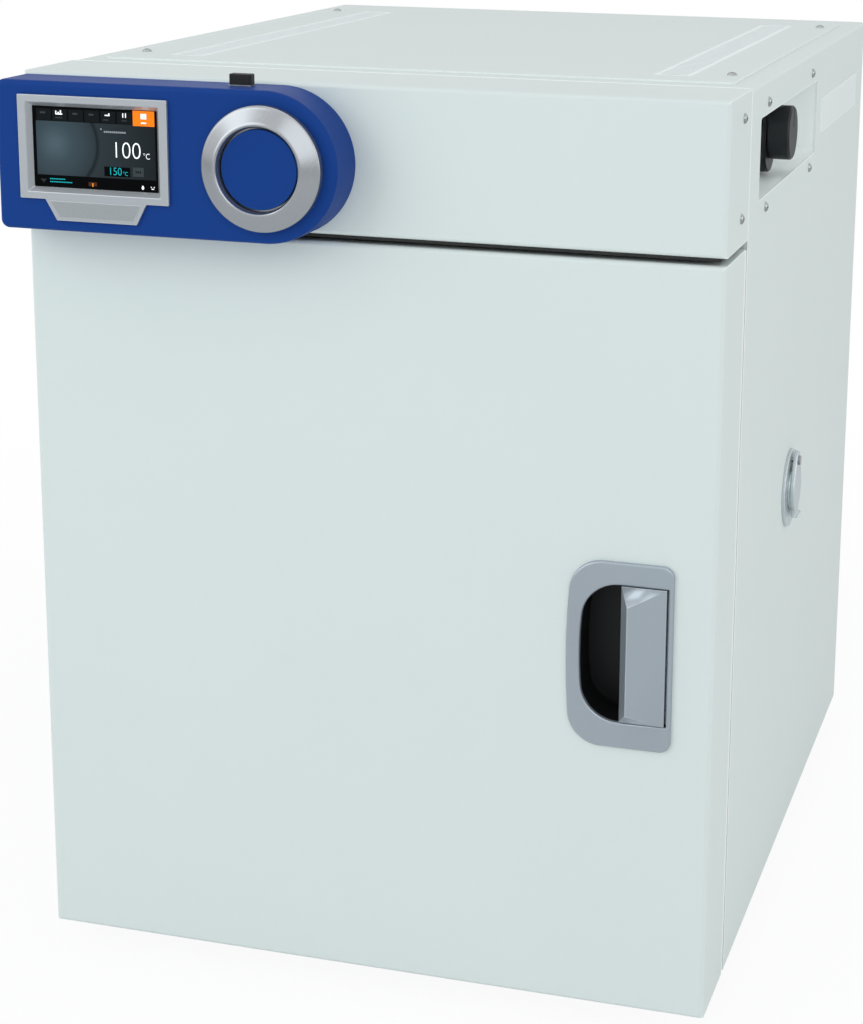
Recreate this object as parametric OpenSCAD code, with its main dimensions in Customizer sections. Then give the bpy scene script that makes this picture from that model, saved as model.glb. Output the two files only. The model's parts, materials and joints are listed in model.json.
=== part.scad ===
// Bench incubator with a steel cabinet, an insulated door and an inner glass door.
// A blue control housing with a screen and a jog dial stands on the front fascia.
// Millimetres, Z up. The front faces -Y and the right side faces +X. The origin is on the
// bench under the middle of the cabinet. Local sizes run from the door's front face (y)
// and from the cabinet's underside (z).

/* [Cabinet] */
// Width of the cabinet, the door and the fascia
cabinet_w = 500; // [450:1:620]
// Height of the cabinet above its feet
cabinet_h = 645.5; // [560:0.5:780]
// Depth from the door's front face to the back of the cabinet
cabinet_d = 632.6; // [540:0.1:760]
// Sheet steel of the casing
sheet_t = 1.5; // [1:0.1:2]
// Outside radius of the casing's bends
bend_r = 3; // [2.5:0.1:6]
// Height of the rubber feet
foot_h = 20; // [12:1:40]
// Radius of a rubber foot
foot_r = 20; // [12:1:26]
// From a side of the cabinet to a foot's centre
foot_inset = 62; // [48:1:90]

/* [Chamber] */
// Insulated wall at each side, from the casing's outer face to the chamber
side_wall = 70; // [66:1:85]
// Insulated floor, from the underside to the chamber
floor_wall = 62; // [50:1:90]
// Insulated ceiling, from the chamber to the electronics deck
ceiling_wall = 62; // [45:1:90]
// Electronics space above the deck, to the top of the cabinet
deck_drop = 122.5; // [108:0.5:150]
// Space behind the chamber for the motor, inside the rear panel
motor_space = 71; // [66:1:110]
// Insulation behind the chamber
rear_wall = 54; // [40:1:80]
// Fan space between the baffle and the chamber's rear wall
fan_space = 50; // [46:1:80]
// Radius of the chamber's coved corners
cove_r = 12; // [6:1:20]
// Stainless sheet of the chamber
liner_t = 1; // [0.8:0.1:1.5]
// Height of the lower shelf above the chamber's floor
lower_shelf = 108; // [60:1:150]
// Height of the upper shelf above the chamber's floor
upper_shelf = 298; // [270:1:320]

/* [Door] */
// Depth of the door
door_d = 68.4; // [60:0.1:90]
// Gap that the gasket fills between the door and the cabinet
seal_gap = 5.6; // [4.5:0.1:8]
// Gap between the door and the fascia
door_gap = 5.1; // [5:0.1:8]
// Radius of the hinge pins
hinge_r = 4; // [3:0.1:5]
// From the door's left side to the hinge axis
hinge_inset = 14; // [11:0.5:18]
// From the door's front face to the hinge axis
hinge_depth = 38; // [34:0.5:44]
// Thickness of the inner glass door
glass_t = 4; // [3:0.1:5]

/* [Handle] */
// From the door's right side to the handle
handle_gap = 28.1; // [20:0.1:60]
// Height of the handle's lower edge above the door's lower edge
handle_z = 197.3; // [120:0.1:300]
// Width of the handle's frame
handle_w = 75.9; // [72:0.1:90]
// Height of the handle's frame
handle_h = 133.8; // [124:0.1:170]
// How far the frame stands proud of the door
frame_t = 3; // [2:0.1:5]
// Depth of the finger recess in the door
cup_d = 30; // [24:1:40]
// How far the paddle's ridge stands proud of the door
ridge_d = 16.2; // [8:0.1:20]

/* [Control housing] */
// Height of the fascia
fascia_h = 102.6; // [102:0.1:120]
// Length of the blue housing
housing_w = 247.8; // [240:0.1:300]
// Height of the blue housing
housing_h = 102.8; // [98:0.1:110]
// How far the blue housing stands proud of the fascia
housing_d = 36.7; // [30:0.1:50]
// Rounding along the housing's front edge
housing_edge = 3.5; // [2.6:0.1:5]
// Wall of the housing
housing_t = 2.5; // [2:0.1:3]
// How far the housing reaches past the cabinet's left side
housing_over = 2.5; // [0:0.5:4]
// Visible width of the screen
screen_w = 92.2; // [80:0.1:100]
// Visible height of the screen
screen_h = 55.2; // [48:0.1:57]
// Radius of the jog ring
ring_r = 42.4; // [38:0.1:46]
// How far the jog ring stands proud of the housing
ring_d = 12.6; // [12.5:0.1:18]
// Radius of the centre button
button_r = 27; // [20:0.1:28]

/* [Right side] */
// Height of the side pocket
pocket_h = 57; // [54:0.5:64]
// Length of the side pocket
pocket_l = 253; // [240:1:270]
// Depth of the side pocket
pocket_d = 34; // [30:0.5:44]
// Radius of the limiter knob's skirt
knob_r = 23.3; // [18:0.1:25]
// Radius of the access port's bore
port_r = 15; // [12:0.5:20]
// Height of the access port above the underside
port_z = 305.5; // [292:0.5:310]
// From the door's front face to the access port
port_y = 295; // [250:1:340]

/* [Fan] */
// Radius of the fan's impeller
fan_r = 68; // [50:1:74]
// Blades on the impeller
blades = 14; // [8:1:20]
// Radius of the ring heater's turns
heater_r = 86; // [84:1:110]

/* [Hidden] */
$fn = 48;

// Running gap between turning pieces, gap between seated pieces, and an overcut for clean holes
run_gap = 0.06;
seat_gap = 0.1;
over = 1;

half_w = cabinet_w / 2;
inner_w = half_w - sheet_t - seat_gap;
seam_y = door_d + seal_gap;
frame_t2 = 1.2;
fascia_z = cabinet_h - fascia_h;
door_h = fascia_z - door_gap;
deck_z = cabinet_h - deck_drop;
deck_t = 1.2;

// Chamber: half width, floor, ceiling, mouth, baffle, rear wall
ch_x = half_w - side_wall;
ch_z0 = floor_wall;
ch_z1 = deck_z - ceiling_wall;
ch_zm = (ch_z0 + ch_z1) / 2;
rebate = 12;
ch_y0 = seam_y + frame_t2 + rebate;
cover_y = cabinet_d - motor_space;
ch_y1 = cover_y - rear_wall - liner_t;
baffle_y = ch_y1 - fan_space;
shelf_z = [ch_z0 + lower_shelf, ch_z0 + upper_shelf];

// Hinge axes of the door and of the inner glass door
hinge_x = -half_w + hinge_inset;
glass_x = -ch_x - 7;
glass_y = seam_y + 5;
glass_pin_y = glass_y - 1;
glass_pin_r = 2;

// Handle: frame, recess and paddle
frame_x1 = half_w - handle_gap;
frame_x0 = frame_x1 - handle_w;
frame_z1 = handle_z + handle_h;
frame_bulge = 277;
cup_x0 = frame_x0 + 9.6;
cup_x1 = frame_x1 - 3.5;
cup_z0 = handle_z + 18.7;
cup_z1 = frame_z1 - 16;
cup_r = 28;
cup_bulge = 220;
cup_t = 1.5;
paddle_x0 = cup_x1 - 32.8;
paddle_x1 = cup_x1 - 1.6;
pivot_x = cup_x1 - 4.8;
pivot_y = 3;
pivot_r = 1.6;
barrel_r = 2.9;
arm_x = pivot_x + 13;
arm_t = 3;
arm_zm = (cup_z0 + cup_z1) / 2;
arm_h = 16;
nose_y = seam_y + 5;
nose_l = 5;
nose_w = 7;

// Control housing
hs_x0 = -half_w - housing_over;
hs_x1 = hs_x0 + housing_w;
hs_z0 = fascia_z - 2.4;
hs_zm = hs_z0 + housing_h / 2;
hs_r = housing_h / 2;
dial_x = hs_x1 - hs_r;
corner_r = 6;
screen_x = hs_x0 + 73.2;
screen_z = hs_z0 + 58;
bezel_edge = 9.2;
bezel_d = 2.5;
glass_d = 2;

// USB socket and cap on the housing's top
usb_x = dial_x - 23;
usb_y = -16;

// Pocket on the right side
pocket_y0 = seam_y + 38;
pocket_zm = fascia_z + 49.6;
pocket_x = half_w - pocket_d;
knob_y = pocket_y0 + 123;
knob_z = pocket_zm + 3.4;
switch_y = pocket_y0 + 190;
switch_z = pocket_zm - 13.2;
switch_tilt = 7;

// Port cover
port_pin_z = port_z + port_r + 8;
port_flange_r = port_r + 16;
port_flange_t = 2.5;
port_tube_t = 1.5;
port_lip = 4.2;
port_cover_t = 3.2;

// Whole box in depth, which sets the origin
screw_head = 2.1;
front_y = -(cabinet_d + screw_head - housing_d - ring_d) / 2;

// Screws: radius of shank and head, length, and the places on each panel
screw_r = 2;
head_r = 3.6;
screw_l = 6;
cover_x = half_w - 16;
cover_y0 = seam_y + 20.5;
cover_y1 = cabinet_d - 50;
cover_t = 1.2;
top_screws = [for (x = [-1, 1], y = [cover_y0 + 47.5, cover_y1 - 35.6]) [x * (cover_x - 11), y]];
fascia_screws = [for (z = [fascia_z + 19, fascia_z + 86]) [seam_y - 27, z]];
pocket_screws = [for (y = [28, pocket_l - 29], z = [-1, 1]) [pocket_y0 + y, pocket_zm + z * (pocket_h / 2 + 8.5)]];
rear_screws = [for (x = [-1, 1], z = [20, cabinet_h / 2, cabinet_h - 20]) [x * (half_w - 9), z]];

silver = "#d2d4d7";
pale = "#dde6e4";
stainless = "#c3c6c8";
black = "#1d1e20";

// Local frame: y from the door's front face, z from the cabinet's underside
module placed() { translate([0, front_y, foot_h]) children(); }

// A shape drawn in two axes and extruded along the third
module along_x(x0, x1) { translate([x0, 0, 0]) rotate([90, 0, 90]) linear_extrude(x1 - x0) children(); }
module along_y(y0, y1) { translate([0, y1, 0]) rotate([90, 0, 0]) linear_extrude(y1 - y0) children(); }
module along_z(z0, z1) { translate([0, 0, z0]) linear_extrude(z1 - z0) children(); }

// Straight rods through a point, along each axis
module rod_x(y, z, x0, x1, r) { translate([x0, y, z]) rotate([0, 90, 0]) cylinder(h = x1 - x0, r = r); }
module rod_y(x, z, y0, y1, r) { translate([x, y1, z]) rotate([90, 0, 0]) cylinder(h = y1 - y0, r = r); }
module rod_z(x, y, z0, z1, r) { translate([x, y, z0]) cylinder(h = z1 - z0, r = r); }

module block(x0, x1, y0, y1, z0, z1) { translate([x0, y0, z0]) cube([x1 - x0, y1 - y0, z1 - z0]); }
module area(x0, x1, y0, y1) { translate([x0, y0]) square([x1 - x0, y1 - y0]); }

// Rectangle with round corners, as true arcs
module round_area(x0, x1, y0, y1, r) {
    area(x0 + r, x1 - r, y0, y1);
    area(x0, x1, y0 + r, y1 - r);
    for (x = [x0 + r, x1 - r], y = [y0 + r, y1 - r]) translate([x, y]) circle(r);
}

// Rectangle in x and y whose two corners at y0 are round
module bent_front(x0, x1, y0, y1, r) {
    area(x0, x1, y0 + r, y1);
    area(x0 + r, x1 - r, y0, y1);
    for (x = [x0 + r, x1 - r]) translate([x, y0 + r]) circle(r);
}

// The same in y and z, for a section along x
module bent_front_side(y0, y1, z0, z1, r) {
    area(y0 + r, y1, z0, z1);
    area(y0, y1, z0 + r, z1 - r);
    for (z = [z0 + r, z1 - r]) translate([y0 + r, z]) circle(r);
}

// A body whose four front edges are bent with one radius
module bent_body(x0, x1, y0, y1, z0, z1, r) {
    intersection() {
        along_z(z0, z1) bent_front(x0, x1, y0, y1, r);
        along_x(x0, x1) bent_front_side(y0, y1, z0, z1, r);
    }
}

// A folded sheet tray, open at the back
module tray(x0, x1, y0, y1, z0, z1) {
    difference() {
        bent_body(x0, x1, y0, y1, z0, z1, bend_r);
        bent_body(x0 + sheet_t, x1 - sheet_t, y0 + sheet_t, y1 + over, z0 + sheet_t, z1 - sheet_t,
            bend_r - sheet_t);
    }
}

// Upside-down U of the casing, in x and z
module hood(w, z0, z1, r) {
    area(-w, w, z0, z1 - r);
    area(-w + r, w - r, z0, z1);
    for (x = [-w + r, w - r]) translate([x, z1 - r]) circle(r);
}

// Chamber section in x and z, grown by a distance
module chamber_area(grow) { round_area(-ch_x - grow, ch_x + grow, ch_z0 - grow, ch_z1 + grow, cove_r + grow); }

// Rebate round the chamber's mouth, grown by a distance, and the dish in the door's inner panel
module mouth_area(grow) {
    g = rebate + grow;
    round_area(-ch_x - g, ch_x + g, ch_z0 - g, ch_z1 + g, 4 + grow);
}
module dish_area(grow) {
    round_area(-ch_x + 10 - grow, ch_x - 10 + grow, ch_z0 + 10 - grow, ch_z1 - 10 + grow, 8 + grow);
}

// Handle opening in x and z, grown by a distance: round on the left, square on the right
module cup_area(grow) {
    intersection() {
        union() {
            area(cup_x0 + cup_r, cup_x1 + grow, cup_z0 - grow, cup_z1 + grow);
            area(cup_x0 - grow, cup_x1 + grow, cup_z0 + cup_r, cup_z1 - cup_r);
            for (z = [cup_z0 + cup_r, cup_z1 - cup_r]) translate([cup_x0 + cup_r, z]) circle(cup_r + grow);
        }
        translate([cup_x0 + cup_bulge, (cup_z0 + cup_z1) / 2]) circle(cup_bulge + grow);
    }
}

// Pan-head screw pointing down from the surface at z = 0
module screw() {
    translate([0, 0, -screw_l]) cylinder(h = screw_l + 0.2, r = screw_r);
    cylinder(h = 1.1, r = head_r);
    translate([0, 0, 1.1]) cylinder(h = screw_head - 1.1, r1 = head_r, r2 = head_r * 0.55);
}

// Screw holes through the sheets at each place
module top_holes() { for (p = top_screws) rod_z(p[0], p[1], cabinet_h - 10, cabinet_h + 10, screw_r + seat_gap); }
module fascia_holes() {
    for (p = fascia_screws) rod_x(p[0], p[1], -half_w - over, half_w + over, screw_r + seat_gap);
}
module pocket_holes() {
    for (p = pocket_screws) rod_x(p[0], p[1], half_w - 10, half_w + over, screw_r + seat_gap);
}
module rear_holes() {
    for (p = rear_screws) rod_y(p[0], p[1], cabinet_d - 10, cabinet_d + over, screw_r + seat_gap);
}

// Pocket opening in y and z, grown by a distance
module pocket_area(grow) {
    round_area(pocket_y0 - grow, pocket_y0 + pocket_l + grow, pocket_zm - pocket_h / 2 - grow,
        pocket_zm + pocket_h / 2 + grow, 3 + grow);
}

// Sides and top in one folded sheet, with a return flange at the back
module outer_wrap() {
    rear_y = cabinet_d - sheet_t;
    flange = 15;
    color(pale) placed() difference() {
        union() {
            along_y(seam_y, rear_y) difference() {
                hood(half_w, 0, cabinet_h, bend_r);
                hood(half_w - sheet_t, -over, cabinet_h - sheet_t, bend_r - sheet_t);
            }
            along_y(rear_y - sheet_t, rear_y) difference() {
                hood(half_w - 0.1, 0, cabinet_h - 0.1, bend_r);
                area(-half_w + flange, half_w - flange, -over, cabinet_h - flange);
            }
        }
        along_z(cabinet_h - 10, cabinet_h + over)
            round_area(-cover_x + 19, cover_x - 19, cover_y0 + 12, cover_y1 - 12, 4);
        along_x(half_w - 10, half_w + over) pocket_area(0);
        rod_x(port_y, port_z, half_w - 10, half_w + over, port_r + port_tube_t + seat_gap);
        top_holes();
        pocket_holes();
        rear_holes();
    }
}

// Vent strips in the top cover: centre, width, first and last slot
vent_x = cover_x - 50.3;
vent_w = 26.5;
vent_y0 = cover_y0 + 30.5;
vent_y1 = cover_y1 - 30.6;
slot_pitch = 8.4;
slot_w = 4;

module top_cover() {
    color(pale) placed() along_z(cabinet_h, cabinet_h + cover_t) difference() {
        round_area(-cover_x, cover_x, cover_y0, cover_y1, 3);
        for (s = [-1, 1]) translate([s * vent_x, 0]) area(-vent_w / 2, vent_w / 2, vent_y0, vent_y1);
        for (p = top_screws) translate(p) circle(screw_r + seat_gap);
    }
}

// Slotted strips that fill the cover's two windows, with a rim under the cover
module top_vents() {
    slots = floor((vent_y1 - vent_y0 - 6) / slot_pitch);
    first = (vent_y0 + vent_y1) / 2 - (slots - 1) * slot_pitch / 2;
    color("#e6ece8") placed() for (s = [-1, 1]) translate([s * vent_x, 0, 0]) difference() {
        union() {
            along_z(cabinet_h - 1, cabinet_h + cover_t - 0.2)
                area(-vent_w / 2 + seat_gap, vent_w / 2 - seat_gap, vent_y0 + seat_gap, vent_y1 - seat_gap);
            along_z(cabinet_h - 1, cabinet_h - seat_gap)
                area(-vent_w / 2 - 5, vent_w / 2 + 5, vent_y0 - 5, vent_y1 + 5);
        }
        along_z(cabinet_h - 3, cabinet_h + 3) for (i = [0 : slots - 1])
            area(-vent_w / 2 + 3, vent_w / 2 - 3, first + i * slot_pitch - slot_w / 2,
                first + i * slot_pitch + slot_w / 2);
    }
}

// Power inlet on the rear panel
inlet_x = -half_w + 75;
inlet_z = deck_z + 34;
inlet_w = 27.2;
inlet_h = 20;

module rear_panel() {
    color(pale) placed() difference() {
        along_y(cabinet_d - sheet_t, cabinet_d) difference() {
            round_area(-half_w, half_w, 0, cabinet_h, bend_r);
            area(inlet_x - inlet_w / 2 - seat_gap, inlet_x + inlet_w / 2 + seat_gap,
                inlet_z - inlet_h / 2 - seat_gap, inlet_z + inlet_h / 2 + seat_gap);
            for (row = [0, 1], i = [-7 : 7])
                round_area(i * 13 - 2, i * 13 + 2, ch_zm - 45 + row * 50, ch_zm - 5 + row * 50, 1.9);
            for (i = [-7 : 7]) round_area(i * 13 + 58, i * 13 + 62, deck_z + 50, deck_z + 90, 1.9);
        }
        rear_holes();
    }
}

foot_x = half_w - foot_inset;
foot_y = [seam_y + foot_inset, cabinet_d - foot_inset];

module bottom_plate() {
    color(pale) placed() along_z(0, sheet_t) difference() {
        area(-inner_w, inner_w, seam_y + frame_t2 + seat_gap, cabinet_d - 2 * sheet_t - seat_gap);
        for (x = [-foot_x, foot_x], y = foot_y) translate([x, y]) circle(4 + seat_gap);
    }
}

// Rubber feet, each with a stud through the bottom plate
module feet() {
    color(black) placed() for (x = [-foot_x, foot_x], y = foot_y) translate([x, y, -foot_h]) rotate_extrude()
        polygon([[0, 0], [foot_r * 0.8, 0], [foot_r * 0.88, 2], [foot_r, foot_h - 3], [foot_r, foot_h],
            [4, foot_h], [4, foot_h + 12], [0, foot_h + 12]]);
}

// Stepped steel front: face, rebate for the glass door, and ears that carry the fascia
module front_frame() {
    z1 = cabinet_h - sheet_t - seat_gap;
    y1 = seam_y + frame_t2;
    ear_x = half_w - sheet_t - seat_gap;
    color(pale) placed() difference() {
        union() {
            along_y(seam_y, y1) difference() {
                area(-inner_w, inner_w, 0, z1);
                mouth_area(0);
            }
            along_y(seam_y, ch_y0 + frame_t2) difference() {
                mouth_area(frame_t2);
                mouth_area(0);
            }
            along_y(ch_y0, ch_y0 + frame_t2) difference() {
                mouth_area(frame_t2);
                chamber_area(0);
            }
            for (s = [-1, 1]) translate([s * (ear_x - frame_t2 / 2), 0, 0])
                block(-frame_t2 / 2, frame_t2 / 2, seam_y - 40, seam_y + 0.1, fascia_z + 6, z1 - 6);
        }
        block(pivot_x - 6, arm_x + arm_t + nose_w + 5, seam_y - over, y1 + 0.2, arm_zm - arm_h / 2 - 5,
            arm_zm + arm_h / 2 + 5);
        along_y(seam_y - over, y1 + over) round_area(screen_x - 30, screen_x + 30, hs_zm - 25, hs_zm + 25, 6);
        fascia_holes();
    }
}

module fascia() {
    color(pale) placed() difference() {
        tray(-half_w, half_w, 0, seam_y, fascia_z, cabinet_h);
        along_y(-over, sheet_t + over) round_area(screen_x - 40, screen_x + 60, hs_zm - 25, hs_zm + 25, 6);
        fascia_holes();
    }
}

// All pan-head screws that hold the panels
module cabinet_screws() {
    color("#b9bcc0") placed() {
        for (p = top_screws) translate([p[0], p[1], cabinet_h + cover_t]) screw();
        for (p = fascia_screws, s = [-1, 1]) translate([s * half_w, p[0], p[1]]) rotate([0, s * 90, 0]) screw();
        for (p = pocket_screws) translate([half_w, p[0], p[1]]) rotate([0, 90, 0]) screw();
        for (p = rear_screws) translate([p[0], cabinet_d, p[1]]) rotate([-90, 0, 0]) screw();
    }
}

heater_legs = [[-heater_r * sin(25), ch_zm - heater_r * cos(25), 17],
    [heater_r * sin(25), ch_zm - heater_r * cos(25), 33]];
heater_tube = 4;
sensor_x = ch_x - 70;
sensor_z = ch_z1 - 28;
shaft_r = 4;

// Holes for the fan's shaft, the heater's legs and the sensor
module rear_passages(y0, y1, grow) {
    rod_y(0, ch_zm, y0, y1, shaft_r + 3 + grow);
    for (p = heater_legs) rod_y(p[0], p[1], y0, y1, heater_tube + seat_gap + grow);
    rod_y(sensor_x, sensor_z, y0, y1, 2.5 + seat_gap + grow);
}

module chamber_liner() {
    color(stainless) placed() difference() {
        along_y(ch_y0 + frame_t2, ch_y1 + liner_t) chamber_area(liner_t);
        along_y(ch_y0, ch_y1) chamber_area(0);
        rod_x(port_y, port_z, ch_x - 5, ch_x + 5, port_r + port_tube_t + seat_gap);
        rear_passages(ch_y1 - 5, ch_y1 + 5, 0);
    }
}

// Mineral wool round the chamber, with room for the latch, the port and the shaft
module insulation() {
    color("#e9e2c8") placed() difference() {
        block(-inner_w + 0.1, inner_w - 0.1, seam_y + frame_t2 + seat_gap, cover_y, sheet_t + seat_gap, deck_z);
        along_y(seam_y, ch_y0 + frame_t2 + seat_gap) mouth_area(frame_t2 + seat_gap);
        along_y(seam_y, ch_y1 + liner_t + seat_gap) chamber_area(liner_t + seat_gap);
        rod_x(port_y, port_z, ch_x - 5, half_w + 5, port_r + port_tube_t + 2 * seat_gap);
        rear_passages(ch_y1 - 5, cover_y + 5, 0.2);
        block(pivot_x - 10, half_w + over, seam_y, seam_y + 26, arm_zm - arm_h / 2 - 8, arm_zm + arm_h / 2 + 8);
        for (x = [-foot_x, foot_x], y = foot_y) rod_z(x, y, 0, 13, 5);
    }
}

// Sheet that closes the insulation at the back and carries the motor
module insulation_cover() {
    color("#b8bcbf") placed() difference() {
        block(-inner_w + 0.1, inner_w - 0.1, cover_y, cover_y + 1.2, sheet_t + seat_gap, deck_z - seat_gap);
        rear_passages(cover_y - 5, cover_y + 5, 0.2);
    }
}

module electronics_deck() {
    color("#b8bcbf") placed()
        block(-inner_w + 0.1, inner_w - 0.1, seam_y + frame_t2 + seat_gap, cabinet_d - 2 * sheet_t - seat_gap,
            deck_z, deck_z + deck_t);
}

upright_t = 3;
upright_w = 12;
upright_y = [ch_y0 + 24, baffle_y - 34];

// Slotted strips on the side walls that the runners hook into
module shelf_uprights() {
    z0 = ch_z0 + cove_r + 2;
    z1 = ch_z1 - cove_r - 2;
    slots = floor((z1 - z0 - 20) / 25);
    color(stainless) placed() for (s = [-1, 1], y = upright_y) difference() {
        translate([s * (ch_x - upright_t / 2), 0, 0])
            block(-upright_t / 2, upright_t / 2, y, y + upright_w, z0, z1);
        for (i = [0 : slots]) translate([s * ch_x, 0, 0])
            block(-2 * upright_t, 2 * upright_t, y + 4, y + 8, z0 + 10 + i * 25, z0 + 20 + i * 25);
    }
}

runner_t = 1.2;
runner_x = ch_x - upright_t;
runner_w = 12;

// Angle runners under the shelves
module shelf_runners() {
    color(stainless) placed() for (s = [-1, 1], z = shelf_z) scale_x(s) {
        block(runner_x - runner_w, runner_x, ch_y0 + 18, baffle_y - 14, z - runner_t, z);
        block(runner_x - runner_t, runner_x, ch_y0 + 18, baffle_y - 14, z - 10, z);
    }
}
module scale_x(s) { if (s > 0) children(); else mirror([1, 0, 0]) children(); }

shelf_rod = 2.5;
shelf_wire = 1.4;

// Wire grid: outer rods and a middle rod, with wires welded on top
module wire_shelf() {
    x = runner_x - 8;
    y0 = ch_y0 + 20;
    y1 = baffle_y - 16;
    wires = floor((2 * x - 20) / 18);
    z = shelf_rod;
    for (s = [-1, 1]) rod_y(s * x, z, y0 - shelf_rod, y1 + shelf_rod, shelf_rod);
    for (y = [y0, (y0 + y1) / 2, y1]) rod_x(y, z, -x, x, shelf_rod);
    for (i = [-wires / 2 : wires / 2]) rod_y(i * 18, z + shelf_rod + shelf_wire - 0.8, y0, y1, shelf_wire);
}
module wire_shelves() {
    color("#d6d9dc") placed() for (z = shelf_z) translate([0, 0, z]) wire_shelf();
}

// Perforated sheet before the fan: rings of intake holes and columns of outlet slots
module rear_baffle() {
    hole_r = 3.2;
    rings = floor((fan_r - 10) / 11);
    columns = floor(((ch_z1 - ch_z0) / 2 - 24) / 48);
    color(stainless) placed() {
        difference() {
            along_y(baffle_y, baffle_y + 1.2) chamber_area(-seat_gap);
            rod_y(0, ch_zm, baffle_y - 5, baffle_y + 5, hole_r);
            for (k = [1 : rings], i = [0 : 6 * k - 1])
                rod_y(11 * k * cos(60 * i / k), ch_zm + 11 * k * sin(60 * i / k), baffle_y - 5, baffle_y + 5, hole_r);
            for (s = [-1, 1], c = [18, 34], i = [-columns : columns])
                translate([s * (ch_x - c), 0, ch_zm + i * 48])
                    block(-3, 3, baffle_y - 5, baffle_y + 5, -18, 18);
            rod_y(sensor_x, sensor_z, baffle_y - 5, baffle_y + 5, 3);
        }
        for (s = [-1, 1], z = [ch_z0 + 16, ch_z1 - 16])
            rod_y(s * (ch_x - 62), z, baffle_y + 1.2, ch_y1, 4);
    }
}

// Tubular heater in two turns round the impeller, with legs through the rear wall
module ring_heater() {
    color("#6d5a50") placed() for (p = heater_legs) {
        translate([0, baffle_y + p[2], ch_zm]) rotate([90, 0, 0]) rotate_extrude()
            translate([heater_r, 0]) circle(heater_tube);
        rod_y(p[0], p[1], baffle_y + p[2], cover_y + 6, heater_tube - 0.8);
    }
}

module fan_motor() {
    color("#55585c") placed() difference() {
        union() {
            rod_y(0, ch_zm, cover_y + 1.2, cover_y + 4, 46);
            rod_y(0, ch_zm, cover_y + 3, cover_y + 46, 36);
            rod_y(0, ch_zm, cover_y + 46, cover_y + 52, 14);
        }
        rod_y(0, ch_zm, cover_y, cover_y + 40, shaft_r + run_gap);
    }
}

// Impeller with backward-curved blades between a back plate and a front ring, on its shaft
module fan_impeller() {
    y0 = baffle_y + 12;
    y1 = y0 + 26;
    bend = fan_r * 0.62;
    color("#c9ccd0") placed() {
        rod_y(0, ch_zm, y1 - 1.5, y1, fan_r);
        rod_y(0, ch_zm, y0 + 4, y1 + 4, 13);
        rod_y(0, ch_zm, y1, cover_y + 39, shaft_r);
        along_y(y0, y0 + 1.5) translate([0, ch_zm]) difference() {
            circle(fan_r);
            circle(fan_r - 14);
        }
        along_y(y0 + 1, y1 - 1) translate([0, ch_zm]) for (i = [0 : blades - 1]) rotate(i * 360 / blades)
            intersection() {
                difference() {
                    translate([fan_r * 0.7, -bend * 0.85]) circle(bend);
                    translate([fan_r * 0.7, -bend * 0.85]) circle(bend - 1.2);
                }
                difference() {
                    circle(fan_r - 0.3);
                    circle(fan_r - 24);
                }
                translate([fan_r * 0.35, 0]) square([fan_r, fan_r]);
            }
    }
}

module temperature_sensor() {
    color(stainless) placed() {
        rod_y(sensor_x, sensor_z, baffle_y - 16, cover_y + 8, 2.5);
        rod_y(sensor_x, sensor_z, ch_y1 - 7, ch_y1, 7);
    }
}

// Pocket sunk in the right side, with a flange behind the casing
module side_pocket() {
    x1 = half_w - sheet_t - seat_gap;
    color(pale) placed() difference() {
        union() {
            along_x(pocket_x - 1.5, x1) pocket_area(1.5);
            along_x(x1 - 1.5, x1) round_area(pocket_y0 - 8, pocket_y0 + pocket_l + 8,
                pocket_zm - pocket_h / 2 - 15, pocket_zm + pocket_h / 2 + 15, 4);
        }
        along_x(pocket_x, half_w) pocket_area(0);
        rod_x(knob_y, knob_z, pocket_x - 5, pocket_x + 5, 5 + seat_gap);
        block(pocket_x - 5, pocket_x + 5, switch_y - switch_l / 2 - seat_gap, switch_y + switch_l / 2 + seat_gap,
            switch_z - switch_h / 2 - seat_gap, switch_z + switch_h / 2 + seat_gap);
        pocket_holes();
    }
}

// Over-temperature limiter behind the pocket, with its bushing, nut and round front housing
module limiter_thermostat() {
    x1 = half_w - 14;
    color(black) placed() difference() {
        union() {
            rod_x(knob_y, knob_z, pocket_x - 32, pocket_x - 1.5, 17);
            rod_x(knob_y, knob_z, pocket_x - 2, pocket_x + 7, 5);
            rod_x(knob_y, knob_z - 6.1, pocket_x, x1 - 1, knob_r + 0.5);
            rod_x(knob_y, knob_z - 6.1, x1 - 1.1, x1, knob_r - 0.5);
        }
        rod_x(knob_y, knob_z, pocket_x - 14, x1 + over, 3 + run_gap);
    }
}

// Black knob: grip with a chamfer, a pointer groove and a shaft
module limiter_knob() {
    x0 = half_w - 13.7;
    r = knob_r - 3.3;
    color(black) placed() translate([0, knob_y, knob_z]) difference() {
        union() {
            rod_x(0, 0, pocket_x - 13, x0 + 2, 3);
            translate([x0, 0, 0]) rotate([0, 90, 0]) rotate_extrude()
                polygon([[0, 0], [r - 0.6, 0], [r, 0.8], [r, 15.2], [r - 1.4, 16.6], [0, 16.6]]);
        }
        block(x0 + 15.5, x0 + 18, -1, 1, 4, knob_r);
    }
}

// Power switch: body, bezel and window
switch_l = 26.6;
switch_h = 12;
module switch_body() {
    color(black) placed() translate([pocket_x, switch_y, switch_z]) difference() {
        union() {
            block(0, 2, -15, 15, -7.8, 7.8);
            block(-20, 1, -switch_l / 2, switch_l / 2, -switch_h / 2, switch_h / 2);
        }
        block(-9, 3, -12.2, 12.2, -5, 5);
        rod_z(0.5, 0, -6.5, 6.5, 1.3 + run_gap);
    }
}

// Rocker that tips about a vertical axis, resting on its off side
module power_rocker() {
    color("#2a2b2e") placed() translate([pocket_x + 0.5, switch_y, switch_z]) rotate([0, 0, -switch_tilt]) {
        along_z(-4.7, 4.7) polygon([[2.6, -11.2], [1.4, 0], [2.6, 11.2], [-1, 11.4], [-6.5, 6], [-6.5, -6],
            [-1, -11.4]]);
        rod_z(0, 0, -switch_h / 2 + 0.1, switch_h / 2 - 0.1, 1.3);
    }
}

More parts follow.
